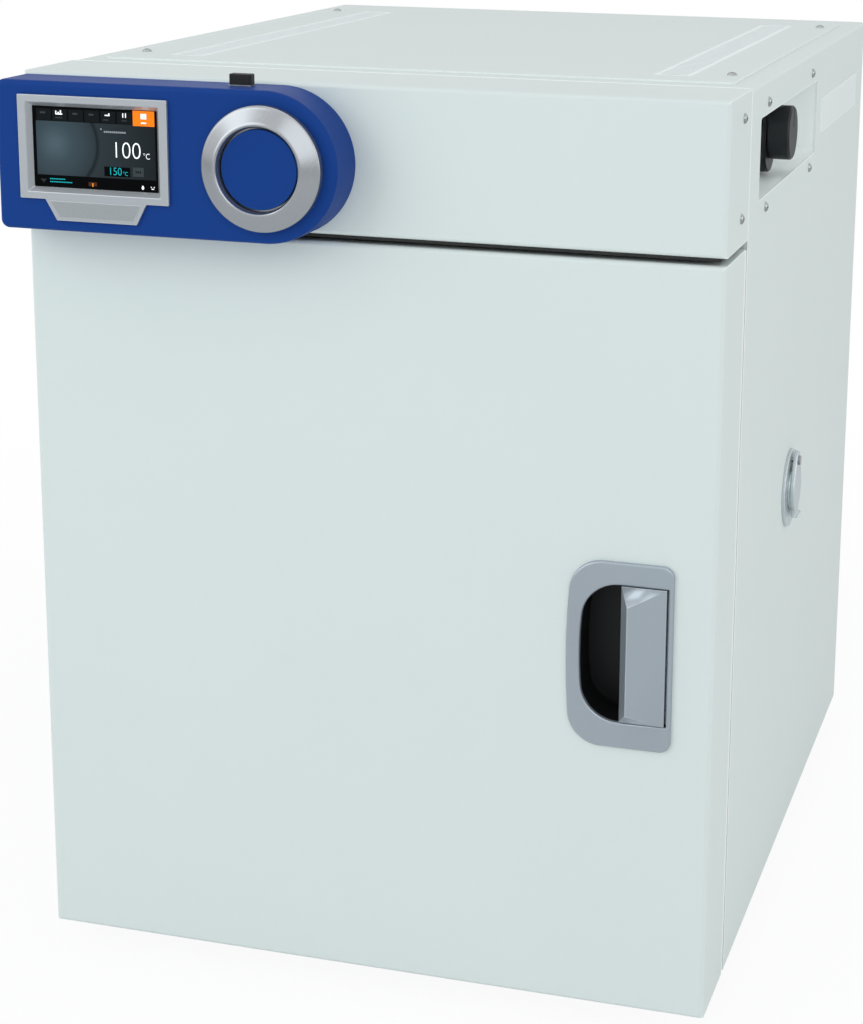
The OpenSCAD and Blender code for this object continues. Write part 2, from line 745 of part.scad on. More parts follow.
// Lined hole through the side wall, with an outside flange
module port_sleeve() {
    color(silver) placed() difference() {
        union() {
            rod_x(port_y, port_z, ch_x, half_w + port_lip, port_r + port_tube_t);
            rod_x(port_y, port_z, half_w, half_w + port_flange_t, port_flange_r);
        }
        rod_x(port_y, port_z, ch_x - over, half_w + port_lip + over, port_r);
        rod_x(port_y, port_pin_z, half_w - over, half_w + port_flange_t + over, 2);
    }
}
module port_cover_pin() {
    x = half_w + port_lip + port_cover_t + 0.3;
    color("#b9bcc0") placed() {
        rod_x(port_y, port_pin_z, half_w + seat_gap, x + 0.5, 2);
        rod_x(port_y, port_pin_z, x, x + 1.5, 3.8);
    }
}

// Swinging cover, pear-shaped, with a bent finger tab at the bottom
module port_cover() {
    x = half_w + port_lip + 0.15;
    t = port_cover_t;
    r = port_r + 3.2;
    color(silver) placed() translate([0, port_y, port_z]) {
        along_x(x, x + t) difference() {
            union() {
                circle(r);
                translate([0, port_pin_z - port_z]) circle(7.6);
                polygon([[-r * 0.9, r * 0.43], [r * 0.9, r * 0.43], [6.8, r + 8.1], [-6.8, r + 8.1]]);
            }
            translate([0, port_pin_z - port_z]) circle(2 + run_gap);
        }
        block(x, x + t, -9, 9, -r - 2.5, -r + 5);
        block(x, x + t + 2.6, -9, 9, -r - 4, -r - 2.5);
    }
}

// Bare plate on the right side
module side_plate() {
    y = pocket_y0 + pocket_l + 23.6;
    color("#e3e8e6") placed() along_x(half_w, half_w + 0.5)
        round_area(y, y + 202, pocket_zm - 16.4, pocket_zm + 11.8, 1.5);
}

// Control housing, seen in x and z: a bar with small corners on the left and a half round on the right.
// inset shrinks it all round and also moves its front face back.
module housing_body(inset) {
    y0 = -housing_d + inset;
    x0 = hs_x0 + inset;
    r = hs_r - inset;
    c = corner_r - inset;
    e = housing_edge - inset;
    // section from a centre line out to the rim, with the front edge rounded
    module half_section(w) {
        area(0, w, y0 + e, 0);
        area(0, w - e, y0, 0);
        translate([w - e, y0 + e]) circle(e);
    }
    translate([dial_x, 0, hs_zm]) rotate([90, 0, 0]) rotate([0, 0, -90]) rotate_extrude(angle = 180)
        mirror([0, 1]) intersection() {
            half_section(r);
            area(0, r, y0, 0);
        }
    along_x(x0 + c, dial_x) bent_front_side(y0, 0, hs_zm - r, hs_zm + r, e);
    intersection() {
        along_z(hs_zm - r + c, hs_zm + r - c) bent_front(x0, dial_x, y0, 0, e);
        block(x0 - over, x0 + c, y0 - over, 0, hs_zm - r, hs_zm + r);
    }
    for (s = [0, 1]) mirror_z(s, hs_zm) translate([x0 + c, 0, hs_zm + r - c]) rotate([90, 0, 0])
        rotate([0, 0, 90]) rotate_extrude(angle = 90) mirror([0, 1]) intersection() {
            half_section(c);
            area(0, c, y0, 0);
        }
}
module mirror_z(s, z) {
    if (s == 0) children();
    else translate([0, 0, 2 * z]) mirror([0, 0, 1]) children();
}

// Bezel window in x and z, grown by a distance
module screen_area(grow) {
    area(screen_x - screen_w / 2 - grow, screen_x + screen_w / 2 + grow, screen_z - screen_h / 2 - grow,
        screen_z + screen_h / 2 + grow);
}

module control_housing() {
    color("#1f4a93") placed() difference() {
        housing_body(0);
        housing_body(housing_t);
        along_y(-housing_d - over, -housing_d + housing_t + over) screen_area(bezel_edge - 2.5);
        rod_y(dial_x, hs_zm, -housing_d - over, -housing_d + housing_t + over, 8 + seat_gap);
        block(usb_x - 6.7, usb_x + 6.7, usb_y - 3, usb_y + 3, hs_zm, hs_z0 + housing_h + over);
    }
}

// Sloping window section: half width w at y1, wider at y0
module funnel(y0, y1, w) {
    polygon([[-w, y1], [w, y1], [w + 3.2, y0], [w + 3.2, y0 - 1], [-w - 3.2, y0 - 1], [-w - 3.2, y0]]);
}

// Silver frame round the screen, with sloping inner walls and a tab below
module display_bezel() {
    y0 = -housing_d - bezel_d;
    y1 = -housing_d + glass_d;
    color(silver) placed() difference() {
        union() {
            along_y(y0, -housing_d) {
                round_area(screen_x - screen_w / 2 - bezel_edge, screen_x + screen_w / 2 + bezel_edge,
                    screen_z - screen_h / 2 - bezel_edge + 1.2, screen_z + screen_h / 2 + bezel_edge - 1.2, 0.8);
                polygon([[screen_x - 37, screen_z - screen_h / 2 - bezel_edge + 2],
                    [screen_x + 39, screen_z - screen_h / 2 - bezel_edge + 2],
                    [screen_x + 31.2, screen_z - screen_h / 2 - 22.4], [screen_x - 28.2, screen_z - screen_h / 2 - 22.4]]);
            }
            along_y(-housing_d - 0.1, y1) screen_area(bezel_edge - 2.6);
        }
        intersection() {
            along_z(screen_z - screen_h, screen_z + screen_h) translate([screen_x, 0])
                funnel(y0, y1, screen_w / 2);
            along_x(screen_x - screen_w, screen_x + screen_w) translate([0, screen_z]) mirror([1, -1])
                funnel(y0, y1, screen_h / 2);
        }
    }
}

module display_glass() {
    y = -housing_d + glass_d + seat_gap;
    color("#2b3a40") placed() along_y(y, y + 1.5) screen_area(1.2);
}
module display_board() {
    y = -housing_d + glass_d + seat_gap + 1.6;
    color("#2f6b45") placed() {
        along_y(y, y + 3.5) screen_area(0.5);
        along_y(y + 3.5, y + 5.1) screen_area(4);
    }
}

// Encoder behind the housing, with a bushing that carries the ring and a bore for the button's stem
stem_r = 3;
module dial_encoder() {
    y = -housing_d + housing_t;
    color("#8f9397") placed() translate([dial_x, 0, hs_zm]) difference() {
        union() {
            block(-15, 15, y, y + 13, -15, 15);
            rod_y(0, 0, -housing_d - 3.3, y + 1, 8);
        }
        rod_y(0, 0, -housing_d - 5, y + 12, stem_r + run_gap);
    }
}

// Jog ring: conical face, bright rim and an inner web that runs on the bushing
module jog_ring() {
    in_r = button_r + 1.1;
    color(silver) placed() translate([dial_x, -housing_d, hs_zm]) rotate([90, 0, 0]) rotate_extrude() polygon([
        [8 + run_gap, 0.4], [ring_r, 0.4], [ring_r, 5.2], [ring_r - 0.5, 6.1], [ring_r - 1.6, 6.8],
        [in_r + 3.2, ring_d - 0.3], [in_r + 2.4, ring_d], [in_r + 1.6, ring_d - 0.4], [in_r + 0.4, ring_d - 3.6],
        [in_r, ring_d - 4.4], [in_r, 3.2], [8 + run_gap, 3.2]]);
}
module dial_button() {
    d = ring_d - 4.1;
    color("#1f4a93") placed() translate([dial_x, -housing_d, hs_zm]) rotate([90, 0, 0]) {
        rotate_extrude() polygon([[0, d - 3.4], [button_r, d - 3.4], [button_r, d - 0.9], [button_r - 0.9, d], [0, d]]);
        translate([0, 0, -9]) cylinder(h = d + 6, r = stem_r);
    }
}

module usb_socket() {
    color(stainless) placed() translate([usb_x, usb_y, hs_z0 + housing_h]) difference() {
        block(-6.6, 6.6, -2.9, 2.9, -17, 0);
        block(-6, 6, -2.3, 2.3, -15, over);
    }
}
module usb_cap() {
    color(black) placed() translate([usb_x, usb_y, hs_z0 + housing_h]) {
        along_z(seat_gap, 8.3) round_area(-8, 8, -4, 4, 1.8);
        block(-5.8, 5.8, -2.1, 2.1, -9.5, 1);
    }
}

// Main board on its spacers, with a few tall parts
module control_board() {
    color("#2f6b45") placed() translate([-30, seam_y + 130, deck_z + deck_t]) {
        block(-90, 90, -60, 60, 8, 9.6);
        for (x = [-82, 82], y = [-52, 52]) rod_z(x, y, 0, 8.5, 3);
        block(-70, -30, -40, 10, 9, 32);
        block(10, 34, -40, 40, 9, 22);
        for (x = [50, 68], y = [-30, 0, 30]) rod_z(x, y, 9, 34, 6);
    }
}
module power_supply() {
    color("#b8bcbf") placed()
        block(-half_w + 25, -half_w + 125, cabinet_d - 230, cabinet_d - 80, deck_z + deck_t, deck_z + 44);
}

// Three-pin inlet in the rear panel
module power_inlet() {
    color(black) placed() translate([inlet_x, cabinet_d, inlet_z]) {
        difference() {
            union() {
                block(-inlet_w / 2 - 2, inlet_w / 2 + 2, 0, 2, -inlet_h / 2 - 2, inlet_h / 2 + 2);
                block(-inlet_w / 2, inlet_w / 2, -24, 1, -inlet_h / 2, inlet_h / 2);
            }
            block(-12, 12, -17, 3, -8, 8);
        }
        for (p = [[-6, -2], [0, 2], [6, -2]]) block(p[0] - 1, p[0] + 1, -18, -2, p[1] - 2, p[1] + 2);
    }
}

// Spring-steel leaf behind the front frame; its bump holds the latch nose
module catch_spring() {
    y0 = seam_y + frame_t2;
    x0 = arm_x + arm_t + nose_w + 1.5;
    color(stainless) placed() along_z(arm_zm - arm_h / 2, arm_zm + arm_h / 2) polygon([
        [half_w - sheet_t - 0.6, y0], [x0 + 4, y0], [x0 - 4.5, y0 + 2.1], [x0 - 4.5, y0 + 2.9], [x0 + 3, y0 + 4.4],
        [x0 + 3, y0 + 16], [x0 + 3.8, y0 + 16], [x0 + 3.8, y0 + 3.8], [x0 - 2.2, y0 + 2.5], [x0 + 4, y0 + 0.8],
        [half_w - sheet_t - 0.6, y0 + 0.8]]);
}

// Two hinge brackets: one in the gap over the door, one under the cabinet
module hinge_brackets() {
    x0 = -half_w + 2;
    x1 = hinge_x + 14;
    y0 = hinge_depth - 14;
    color(stainless) placed() difference() {
        union() {
            block(x0, x1, y0, seam_y, door_h + 1, door_h + door_gap - 1);
            block(x0, x1, seam_y - 1.5, seam_y, door_h - 34, door_h + door_gap - 1);
            along_x(x0, x1) polygon([[y0, -4], [seam_y + 40, -4], [seam_y + 40, 0], [seam_y + 6, 0],
                [seam_y + 6, -1], [y0, -1]]);
        }
        rod_z(hinge_x, hinge_depth, -10, door_h + 20, hinge_r);
    }
}
module hinge_pins() {
    color("#8f9397") placed() {
        rod_z(hinge_x, hinge_depth, -4, 14, hinge_r);
        rod_z(hinge_x, hinge_depth, door_h - 14, door_h + door_gap - 1, hinge_r);
    }
}
bush_r = hinge_r + 3;
module hinge_bushes() {
    color("#caa45a") placed() for (z = [0, door_h - 16]) difference() {
        rod_z(hinge_x, hinge_depth, z, z + 16, bush_r);
        rod_z(hinge_x, hinge_depth, z - over, z + 17, hinge_r + run_gap);
    }
}

// Rebate edges that the glass door's brackets stand on
glass_z0 = ch_z0 - rebate;
glass_z1 = ch_z1 + rebate;
module glass_hinge_brackets() {
    color(stainless) placed() for (s = [0, 1]) mirror_z(s, ch_zm) {
        block(glass_x - 1, glass_x + 14, glass_pin_y - 3, ch_y0, glass_z0, glass_z0 + 2);
        rod_z(glass_x, glass_pin_y, glass_z0 + 1, glass_z0 + 7, glass_pin_r);
    }
}
module glass_seal() {
    color("#e8e8e2") placed() along_y(glass_y + glass_t / 2 + seat_gap, ch_y0) difference() {
        chamber_area(8);
        chamber_area(2);
    }
}

module door_skin() {
    color(pale) placed() difference() {
        tray(-half_w, half_w, 0, door_d - 1.6, 0, door_h);
        along_y(-over, sheet_t + over) cup_area(cup_t + seat_gap);
        rod_z(hinge_x, hinge_depth, -over, door_h + over, bush_r + 0.05);
    }
}

// Dished inner panel, with a slot for the latch arm
dish_y = door_d - 6;
module door_inner_panel() {
    color(stainless) placed() difference() {
        union() {
            along_y(door_d - 1.5, door_d) round_area(-half_w + 0.5, half_w - 0.5, 0.5, door_h - 0.5, 2);
            along_y(dish_y - 1.5, door_d) dish_area(1.5);
        }
        along_y(dish_y, door_d + over) dish_area(0);
        block(pivot_x - 5, arm_x + arm_t + 2, door_d - 5, door_d + over, arm_zm - arm_h / 2 - 4,
            arm_zm + arm_h / 2 + 4);
        block(arm_x, arm_x + arm_t + nose_w + 3, door_d - 5, door_d + over, arm_zm - arm_h / 2 - 4,
            arm_zm + arm_h / 2 + 4);
    }
}
module door_insulation() {
    e = sheet_t + seat_gap;
    color("#e9e2c8") placed() difference() {
        bent_body(-half_w + e, half_w - e, e, door_d - 1.6, e, door_h - e, bend_r - sheet_t);
        along_y(dish_y - 1.5 - seat_gap, door_d) dish_area(1.7);
        along_y(0, cup_d + 1) cup_area(cup_t + 1);
        block(pivot_x - 7, half_w, -over, door_d, arm_zm - arm_h / 2 - 5, arm_zm + arm_h / 2 + 5);
        for (z = [-over, door_h - 16.2]) rod_z(hinge_x, hinge_depth, z, z + 17.3, bush_r + seat_gap);
    }
}

// Gasket: a flat foot on the door and a narrower bulb against the cabinet
module door_gasket() {
    color("#77797b") placed() {
        along_y(door_d, door_d + 2.4) difference() {
            mouth_area(12);
            mouth_area(1);
        }
        along_y(door_d + 2.3, seam_y - 0.2) difference() {
            mouth_area(10);
            mouth_area(3);
        }
    }
}

module handle_frame() {
    r = 24;
    c = 8;
    color(silver) placed() along_y(-frame_t, 0) difference() {
        intersection() {
            union() {
                area(frame_x0 + r, frame_x1 - c, handle_z, frame_z1);
                area(frame_x0, frame_x1, handle_z + r, frame_z1 - r);
                area(frame_x0 + r, frame_x1, handle_z + c, frame_z1 - c);
                for (z = [handle_z + r, frame_z1 - r]) translate([frame_x0 + r, z]) circle(r);
                for (z = [handle_z + c, frame_z1 - c]) translate([frame_x1 - c, z]) circle(c);
            }
            translate([frame_x0 + frame_bulge, (handle_z + frame_z1) / 2]) circle(frame_bulge);
        }
        cup_area(0);
    }
}

// Black finger recess, with a side slot for the latch arm and holes for the paddle's pin
module handle_cup() {
    color(black) placed() difference() {
        along_y(0, cup_d) cup_area(cup_t);
        along_y(-over, cup_d - cup_t) cup_area(0);
        block(cup_x1 - 3, cup_x1 + 4, 4.5, cup_d + over, arm_zm - arm_h / 2 - 3, arm_zm + arm_h / 2 + 3);
        rod_z(pivot_x, pivot_y, cup_z0 - 5, cup_z1 + 5, pivot_r);
    }
}
module paddle_pin() {
    color(stainless) placed() rod_z(pivot_x, pivot_y, cup_z0 - cup_t, cup_z1 + cup_t, pivot_r);
}

// Wedge with a ridge on its left, on a barrel round the pin
module handle_paddle() {
    z0 = cup_z0 + 0.5;
    z1 = cup_z1 - 0.5;
    py = pivot_y;
    color(silver) placed() difference() {
        union() {
            hull() {
                block(paddle_x0, paddle_x1, -frame_t, -frame_t + 3, z0, z1);
                rod_z(paddle_x0 + 7.5, -ridge_d + 0.8, z0 + 10, z1 - 10, 0.8);
            }
            rod_z(pivot_x, py, z0, z1, barrel_r);
            block(pivot_x - barrel_r, pivot_x + barrel_r, -0.5, py, z0, z1);
        }
        rod_z(pivot_x, py, z0 - over, z1 + over, pivot_r + run_gap);
        block(pivot_x - 5, pivot_x + 6, 0.02, 9, arm_zm - arm_h / 2 - 0.1, arm_zm + arm_h / 2 + 0.1);
    }
}

// Steel arm on the paddle's barrel: it runs back through the door and ends in a nose
module latch_arm() {
    py = pivot_y;
    z0 = arm_zm - arm_h / 2;
    z1 = arm_zm + arm_h / 2;
    color(stainless) placed() difference() {
        union() {
            rod_z(pivot_x, py, z0, z1, barrel_r);
            block(pivot_x - 2.6, pivot_x + 2.6, py, py + 6, z0, z1);
            block(pivot_x - 2.6, arm_x + arm_t, py + 4, py + 7, z0, z1);
            block(arm_x, arm_x + arm_t, py + 4, nose_y + nose_l, z0, z1);
            along_z(z0, z1) polygon([[arm_x, nose_y + nose_l], [arm_x + arm_t, nose_y + nose_l],
                [arm_x + arm_t + nose_w, nose_y + 1], [arm_x + arm_t + nose_w, nose_y], [arm_x, nose_y]]);
        }
        rod_z(pivot_x, py, arm_zm - arm_h, arm_zm + arm_h, pivot_r + run_gap);
    }
}

// Coil spring that draws the arm back: a round wire swept along a helix
module paddle_spring() {
    x0 = arm_x + arm_t + 0.3;
    x1 = half_w - sheet_t - 0.3;
    coil = 4;
    wire = 0.6;
    turns = 6;
    steps = 14;
    sides = 6;
    n = turns * steps;
    len = x1 - x0 - 2 * wire;
    points = [for (i = [0 : n], j = [0 : sides - 1])
        let (a = 360 * i / steps, b = 360 * j / sides, r = coil + wire * cos(b))
        [x0 + wire + len * i / n + wire * sin(b), 45 + r * cos(a), arm_zm + r * sin(a)]];
    sides_faces = [for (i = [0 : n - 1], j = [0 : sides - 1])
        let (k = (j + 1) % sides)
        each [[i * sides + j, i * sides + k, (i + 1) * sides + k], [i * sides + j, (i + 1) * sides + k, (i + 1) * sides + j]]];
    ends = [[for (j = [sides - 1 : -1 : 0]) j], [for (j = [0 : sides - 1]) n * sides + j]];
    color("#9a9da0") placed() polyhedron(points, concat(sides_faces, ends));
}

// Inner glass door, its metal clips on the hinge side, and a pull on the glass
module glass_pane() {
    y0 = glass_y - glass_t / 2;
    color([0.75, 0.87, 0.88, 0.5]) placed() along_y(y0, y0 + glass_t) difference() {
        round_area(-ch_x - 2, ch_x + 4, glass_z0 + 4, glass_z1 - 4, 4);
        translate([ch_x - 25, ch_zm]) circle(3 + seat_gap);
    }
}
module glass_clips() {
    y0 = glass_y - glass_t / 2;
    color(stainless) placed() {
        for (s = [0, 1]) mirror_z(s, ch_zm) difference() {
            union() {
                block(glass_x, glass_x + 16, y0 - 2, y0 + glass_t, glass_z0 + 2.3, glass_z0 + 18);
                rod_z(glass_x, glass_pin_y, glass_z0 + 2.3, glass_z0 + 18, 3);
            }
            block(-ch_x - 2 - seat_gap, glass_x + 17, y0 - seat_gap, y0 + glass_t + over,
                glass_z0 + 4 - seat_gap, glass_z0 + 19);
            rod_z(glass_x, glass_pin_y, glass_z0, glass_z0 + 8, glass_pin_r + run_gap);
        }
        translate([ch_x - 25, y0, ch_zm]) {
            rod_y(0, 0, -6, -seat_gap, 8);
            rod_y(0, 0, -1, glass_t, 3);
        }
    }
}

outer_wrap();
top_cover();
top_vents();
rear_panel();
bottom_plate();
feet();
front_frame();
fascia();
cabinet_screws();
chamber_liner();
insulation();
insulation_cover();
electronics_deck();
shelf_uprights();
shelf_runners();
wire_shelves();
rear_baffle();
ring_heater();
fan_motor();
fan_impeller();
temperature_sensor();
side_pocket();
limiter_thermostat();
limiter_knob();
switch_body();
power_rocker();
port_sleeve();
port_cover_pin();
port_cover();
side_plate();
control_housing();
display_bezel();
display_glass();
display_board();
dial_encoder();
jog_ring();
dial_button();
usb_socket();
usb_cap();
control_board();
power_supply();
power_inlet();
catch_spring();
hinge_brackets();
hinge_pins();
glass_hinge_brackets();
glass_seal();
door_skin();
door_inner_panel();
door_insulation();
door_gasket();
hinge_bushes();
handle_frame();
handle_cup();
paddle_pin();
paddle_spring();
handle_paddle();
latch_arm();
glass_pane();
glass_clips();
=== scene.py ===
# Looks for a bench incubator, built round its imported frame. Lengths are in metres unless named _mm.
import json
import math

import bmesh
import bpy
from mathutils import Matrix, Vector


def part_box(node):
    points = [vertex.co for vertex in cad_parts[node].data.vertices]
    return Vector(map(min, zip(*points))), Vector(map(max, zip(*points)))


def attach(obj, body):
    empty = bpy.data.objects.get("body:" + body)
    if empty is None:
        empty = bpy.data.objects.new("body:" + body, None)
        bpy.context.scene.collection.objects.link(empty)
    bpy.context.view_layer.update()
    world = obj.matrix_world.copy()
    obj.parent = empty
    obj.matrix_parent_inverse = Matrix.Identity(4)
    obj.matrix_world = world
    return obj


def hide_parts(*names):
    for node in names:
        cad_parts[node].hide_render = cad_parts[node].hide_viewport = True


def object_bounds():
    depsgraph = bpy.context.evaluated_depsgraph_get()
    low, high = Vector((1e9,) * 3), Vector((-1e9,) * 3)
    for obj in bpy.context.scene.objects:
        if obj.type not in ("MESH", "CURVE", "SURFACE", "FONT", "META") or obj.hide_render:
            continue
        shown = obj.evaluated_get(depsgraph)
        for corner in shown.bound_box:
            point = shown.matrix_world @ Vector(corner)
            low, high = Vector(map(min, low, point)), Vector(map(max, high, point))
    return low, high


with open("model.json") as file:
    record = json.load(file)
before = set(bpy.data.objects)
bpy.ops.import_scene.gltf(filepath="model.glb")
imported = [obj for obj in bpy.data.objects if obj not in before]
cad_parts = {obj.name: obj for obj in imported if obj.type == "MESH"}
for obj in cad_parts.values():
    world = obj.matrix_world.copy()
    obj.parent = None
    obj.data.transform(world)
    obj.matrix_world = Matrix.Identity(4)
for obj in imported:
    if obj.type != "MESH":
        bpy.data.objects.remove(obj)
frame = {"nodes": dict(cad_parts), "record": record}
cad_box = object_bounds()
nodes = frame["nodes"]
MM = 0.001
WELD = 0.002 * MM


def linear(hex_colour):
    """sRGB hex to linear RGBA."""
    parts = [int(hex_colour[i:i + 2], 16) / 255 for i in (1, 3, 5)]
    return (*[c / 12.92 if c <= 0.04045 else ((c + 0.055) / 1.055) ** 2.4 for c in parts], 1.0)


def add(tree, kind, settings=(), links=(), **fields):
    """Adds one node: fields are its own settings, settings its socket values, links what feeds it."""
    node = tree.nodes.new(kind)
    for name, value in fields.items():
        setattr(node, name, value)
    for name, value in dict(settings).items():
        node.inputs[name].default_value = value
    for name, source in dict(links).items():
        tree.links.new(source, node.inputs[name])
    return node


def start(name):
    """A new material: its tree, its shader, and its object coordinates."""
    material = bpy.data.materials.new(name)
    material.use_nodes = True
    tree = material.node_tree
    place = add(tree, "ShaderNodeTexCoord")
    return material, tree, tree.nodes["Principled BSDF"], place.outputs["Object"]


def feed(tree, shader, **sources):
    """Links outputs into the shader's sockets; an underscore in a name stands for a space."""
    for name, source in sources.items():
        tree.links.new(source, shader.inputs[name.replace("_", " ")])


def painted_edge_highlight(tree, tone, colour, radius_mm):
    """Mixes a paler colour in where the surface turns sharply: a painted highlight along edges, standing in for
    the light that the edges catch.
    """
    rounded = add(tree, "ShaderNodeBevel", {"Radius": radius_mm * MM}, samples=4)
    surface = add(tree, "ShaderNodeNewGeometry")
    agreement = add(tree, "ShaderNodeVectorMath", operation="DOT_PRODUCT",
                    links={0: rounded.outputs["Normal"], 1: surface.outputs["Normal"]})
    edge_highlight_mask = add(tree, "ShaderNodeMapRange", {"From Min": 0.985, "From Max": 0.88},
                   {"Value": agreement.outputs["Value"]})
    return add(tree, "ShaderNodeMix", {7: linear(colour)}, {0: edge_highlight_mask.outputs["Result"], 6: tone.outputs[2]},
               data_type="RGBA")


def moulded(name, dark, light, roughness, grain_mm, depth_mm=0.03, coat=0.0, relief=0.3, gleam=0.5, edge=None):
    """Plastic, rubber or enamel: a close pair of tones, a fine skin, uneven gloss and perhaps a painted highlight
    along its edges.
    """
    material, tree, shader, place = start(name)
    skin = add(tree, "ShaderNodeTexNoise", {"Scale": 0.6 / (grain_mm * MM), "Detail": 2.0}, {"Vector": place})
    cloud = add(tree, "ShaderNodeTexNoise", {"Scale": 9.0, "Detail": 3.0}, {"Vector": place})
    tone = add(tree, "ShaderNodeMix", {6: linear(dark), 7: linear(light)}, {0: cloud.outputs["Fac"]},
               data_type="RGBA")
    if edge:
        # The edge colour is a painted highlight: the bright lines that sharp edges catch from the lamps.
        tone = painted_edge_highlight(tree, tone, edge, 2.2)
    gloss = add(tree, "ShaderNodeMapRange", {"To Min": roughness - 0.05, "To Max": roughness + 0.05},
                {"Value": cloud.outputs["Fac"]})
    bump = add(tree, "ShaderNodeBump", {"Strength": relief, "Distance": depth_mm * MM},
               {"Height": skin.outputs["Fac"]})
    feed(tree, shader, Base_Color=tone.outputs[2], Roughness=gloss.outputs["Result"],
         Normal=bump.outputs["Normal"])
    shader.inputs["Coat Weight"].default_value = coat
    shader.inputs["Specular IOR Level"].default_value = gleam
    return material


def metal(name, dark, light, roughness, line_mm, stretch=(1, 1, 1), relief=0.35):
    """Metal: brushing or grain in its tone, its gloss and its relief. stretch runs the lines along an axis."""
    material, tree, shader, place = start(name)
    run = add(tree, "ShaderNodeMapping", {"Scale": stretch}, {"Vector": place})
    lines = add(tree, "ShaderNodeTexNoise", {"Scale": 0.6 / (line_mm * MM), "Detail": 3.0},
                {"Vector": run.outputs["Vector"]})
    tone = add(tree, "ShaderNodeMix", {6: linear(dark), 7: linear(light)}, {0: lines.outputs["Fac"]},
               data_type="RGBA")
    gloss = add(tree, "ShaderNodeMapRange", {"To Min": roughness - 0.08, "To Max": roughness + 0.1},
                {"Value": lines.outputs["Fac"]})
    bump = add(tree, "ShaderNodeBump", {"Strength": relief, "Distance": 0.01 * MM},
               {"Height": lines.outputs["Fac"]})
    feed(tree, shader, Base_Color=tone.outputs[2], Roughness=gloss.outputs["Result"],
         Normal=bump.outputs["Normal"])
    shader.inputs["Metallic"].default_value = 1.0
    return material


def silver_lacquer(name, dark, light, drifted, edge, roughness, metallic):
    """Silver-lacquered ABS: fine metal flake that drifts in tone under a clear coat, with a painted highlight
    along its edges.
    """
    material, tree, shader, place = start(name)
    flake = add(tree, "ShaderNodeTexNoise", {"Scale": 1600.0, "Detail": 1.0}, {"Vector": place})
    cloud = add(tree, "ShaderNodeTexNoise", {"Scale": 15.0, "Detail": 2.0}, {"Vector": place})
    tone = add(tree, "ShaderNodeMix", {6: linear(dark), 7: linear(light)}, {0: flake.outputs["Fac"]},
               data_type="RGBA")
    drift = add(tree, "ShaderNodeTexNoise", {"Scale": 9.0, "Detail": 1.0}, {"Vector": place})
    tone = add(tree, "ShaderNodeMix", {7: linear(drifted)}, {0: drift.outputs["Fac"], 6: tone.outputs[2]},
               data_type="RGBA")
    # Painted highlight: the edge colour stands in for the light that the rims catch.
    tone = painted_edge_highlight(tree, tone, edge, 0.9)
    gloss = add(tree, "ShaderNodeMapRange", {"To Min": roughness - 0.04, "To Max": roughness + 0.04},
                {"Value": cloud.outputs["Fac"]})
    bump = add(tree, "ShaderNodeBump", {"Strength": 0.1, "Distance": 0.01 * MM}, {"Height": flake.outputs["Fac"]})
    feed(tree, shader, Base_Color=tone.outputs[2], Roughness=gloss.outputs["Result"],
         Normal=bump.outputs["Normal"])
    shader.inputs["Metallic"].default_value = metallic
    shader.inputs["Coat Weight"].default_value = 0.15
    return material


def turned_silver(centre):
    """Silver lacquer over a turned ring: faint circles about the dial's axis, a third of a millimetre apart."""
    material, tree, shader, place = start("turned_silver_ring")
    seat = add(tree, "ShaderNodeMapping", {"Location": centre}, {"Vector": place}, vector_type="TEXTURE")
    circles = add(tree, "ShaderNodeTexWave", {"Scale": 480.0, "Distortion": 0.8, "Detail": 1.0},
                  {"Vector": seat.outputs["Vector"]}, wave_type="RINGS", rings_direction="Y")
    tone = add(tree, "ShaderNodeMix", {6: linear("#a0a3a8"), 7: linear("#abaeb2")}, {0: circles.outputs["Fac"]},
               data_type="RGBA")
    gloss = add(tree, "ShaderNodeMapRange", {"To Min": 0.22, "To Max": 0.28}, {"Value": circles.outputs["Fac"]})
    bump = add(tree, "ShaderNodeBump", {"Strength": 0.04, "Distance": 0.01 * MM},
               {"Height": circles.outputs["Fac"]})
    feed(tree, shader, Base_Color=tone.outputs[2], Roughness=gloss.outputs["Result"],
         Normal=bump.outputs["Normal"])
    shader.inputs["Metallic"].default_value = 0.85
    return material


def float_glass():
    """Clear float glass with a faint green body and a few wipe marks in its gloss."""
    material, tree, shader, place = start("float_glass")
    wipes = add(tree, "ShaderNodeTexNoise", {"Scale": 14.0, "Detail": 4.0}, {"Vector": place})
    tone = add(tree, "ShaderNodeMix", {6: linear("#e3f0ec"), 7: linear("#eff7f4")}, {0: wipes.outputs["Fac"]},
               data_type="RGBA")
    gloss = add(tree, "ShaderNodeMapRange", {"To Min": 0.02, "To Max": 0.07}, {"Value": wipes.outputs["Fac"]})
    feed(tree, shader, Base_Color=tone.outputs[2], Roughness=gloss.outputs["Result"])
    shader.inputs["IOR"].default_value = 1.5
    shader.inputs["Transmission Weight"].default_value = 1.0
    shader.inputs["Alpha"].default_value = 0.45
    return material


def lit(name, colour, strength, dim=0.9):
    """A lit part of the screen: its own colour and light, with the panel's pixels half a millimetre apart."""
    material, tree, shader, place = start(name)
    pixels = add(tree, "ShaderNodeTexNoise", {"Scale": 1200.0, "Detail": 0.0}, {"Vector": place})
    full = linear(colour)
    tone = add(tree, "ShaderNodeMix", {6: (*[c * dim for c in full[:3]], 1), 7: full}, {0: pixels.outputs["Fac"]},
               data_type="RGBA")
    feed(tree, shader, Base_Color=tone.outputs[2], Emission_Color=tone.outputs[2])
    shader.inputs["Emission Strength"].default_value = strength
    shader.inputs["Roughness"].default_value = 0.3
    shader.inputs["Specular IOR Level"].default_value = 0.04
    return material


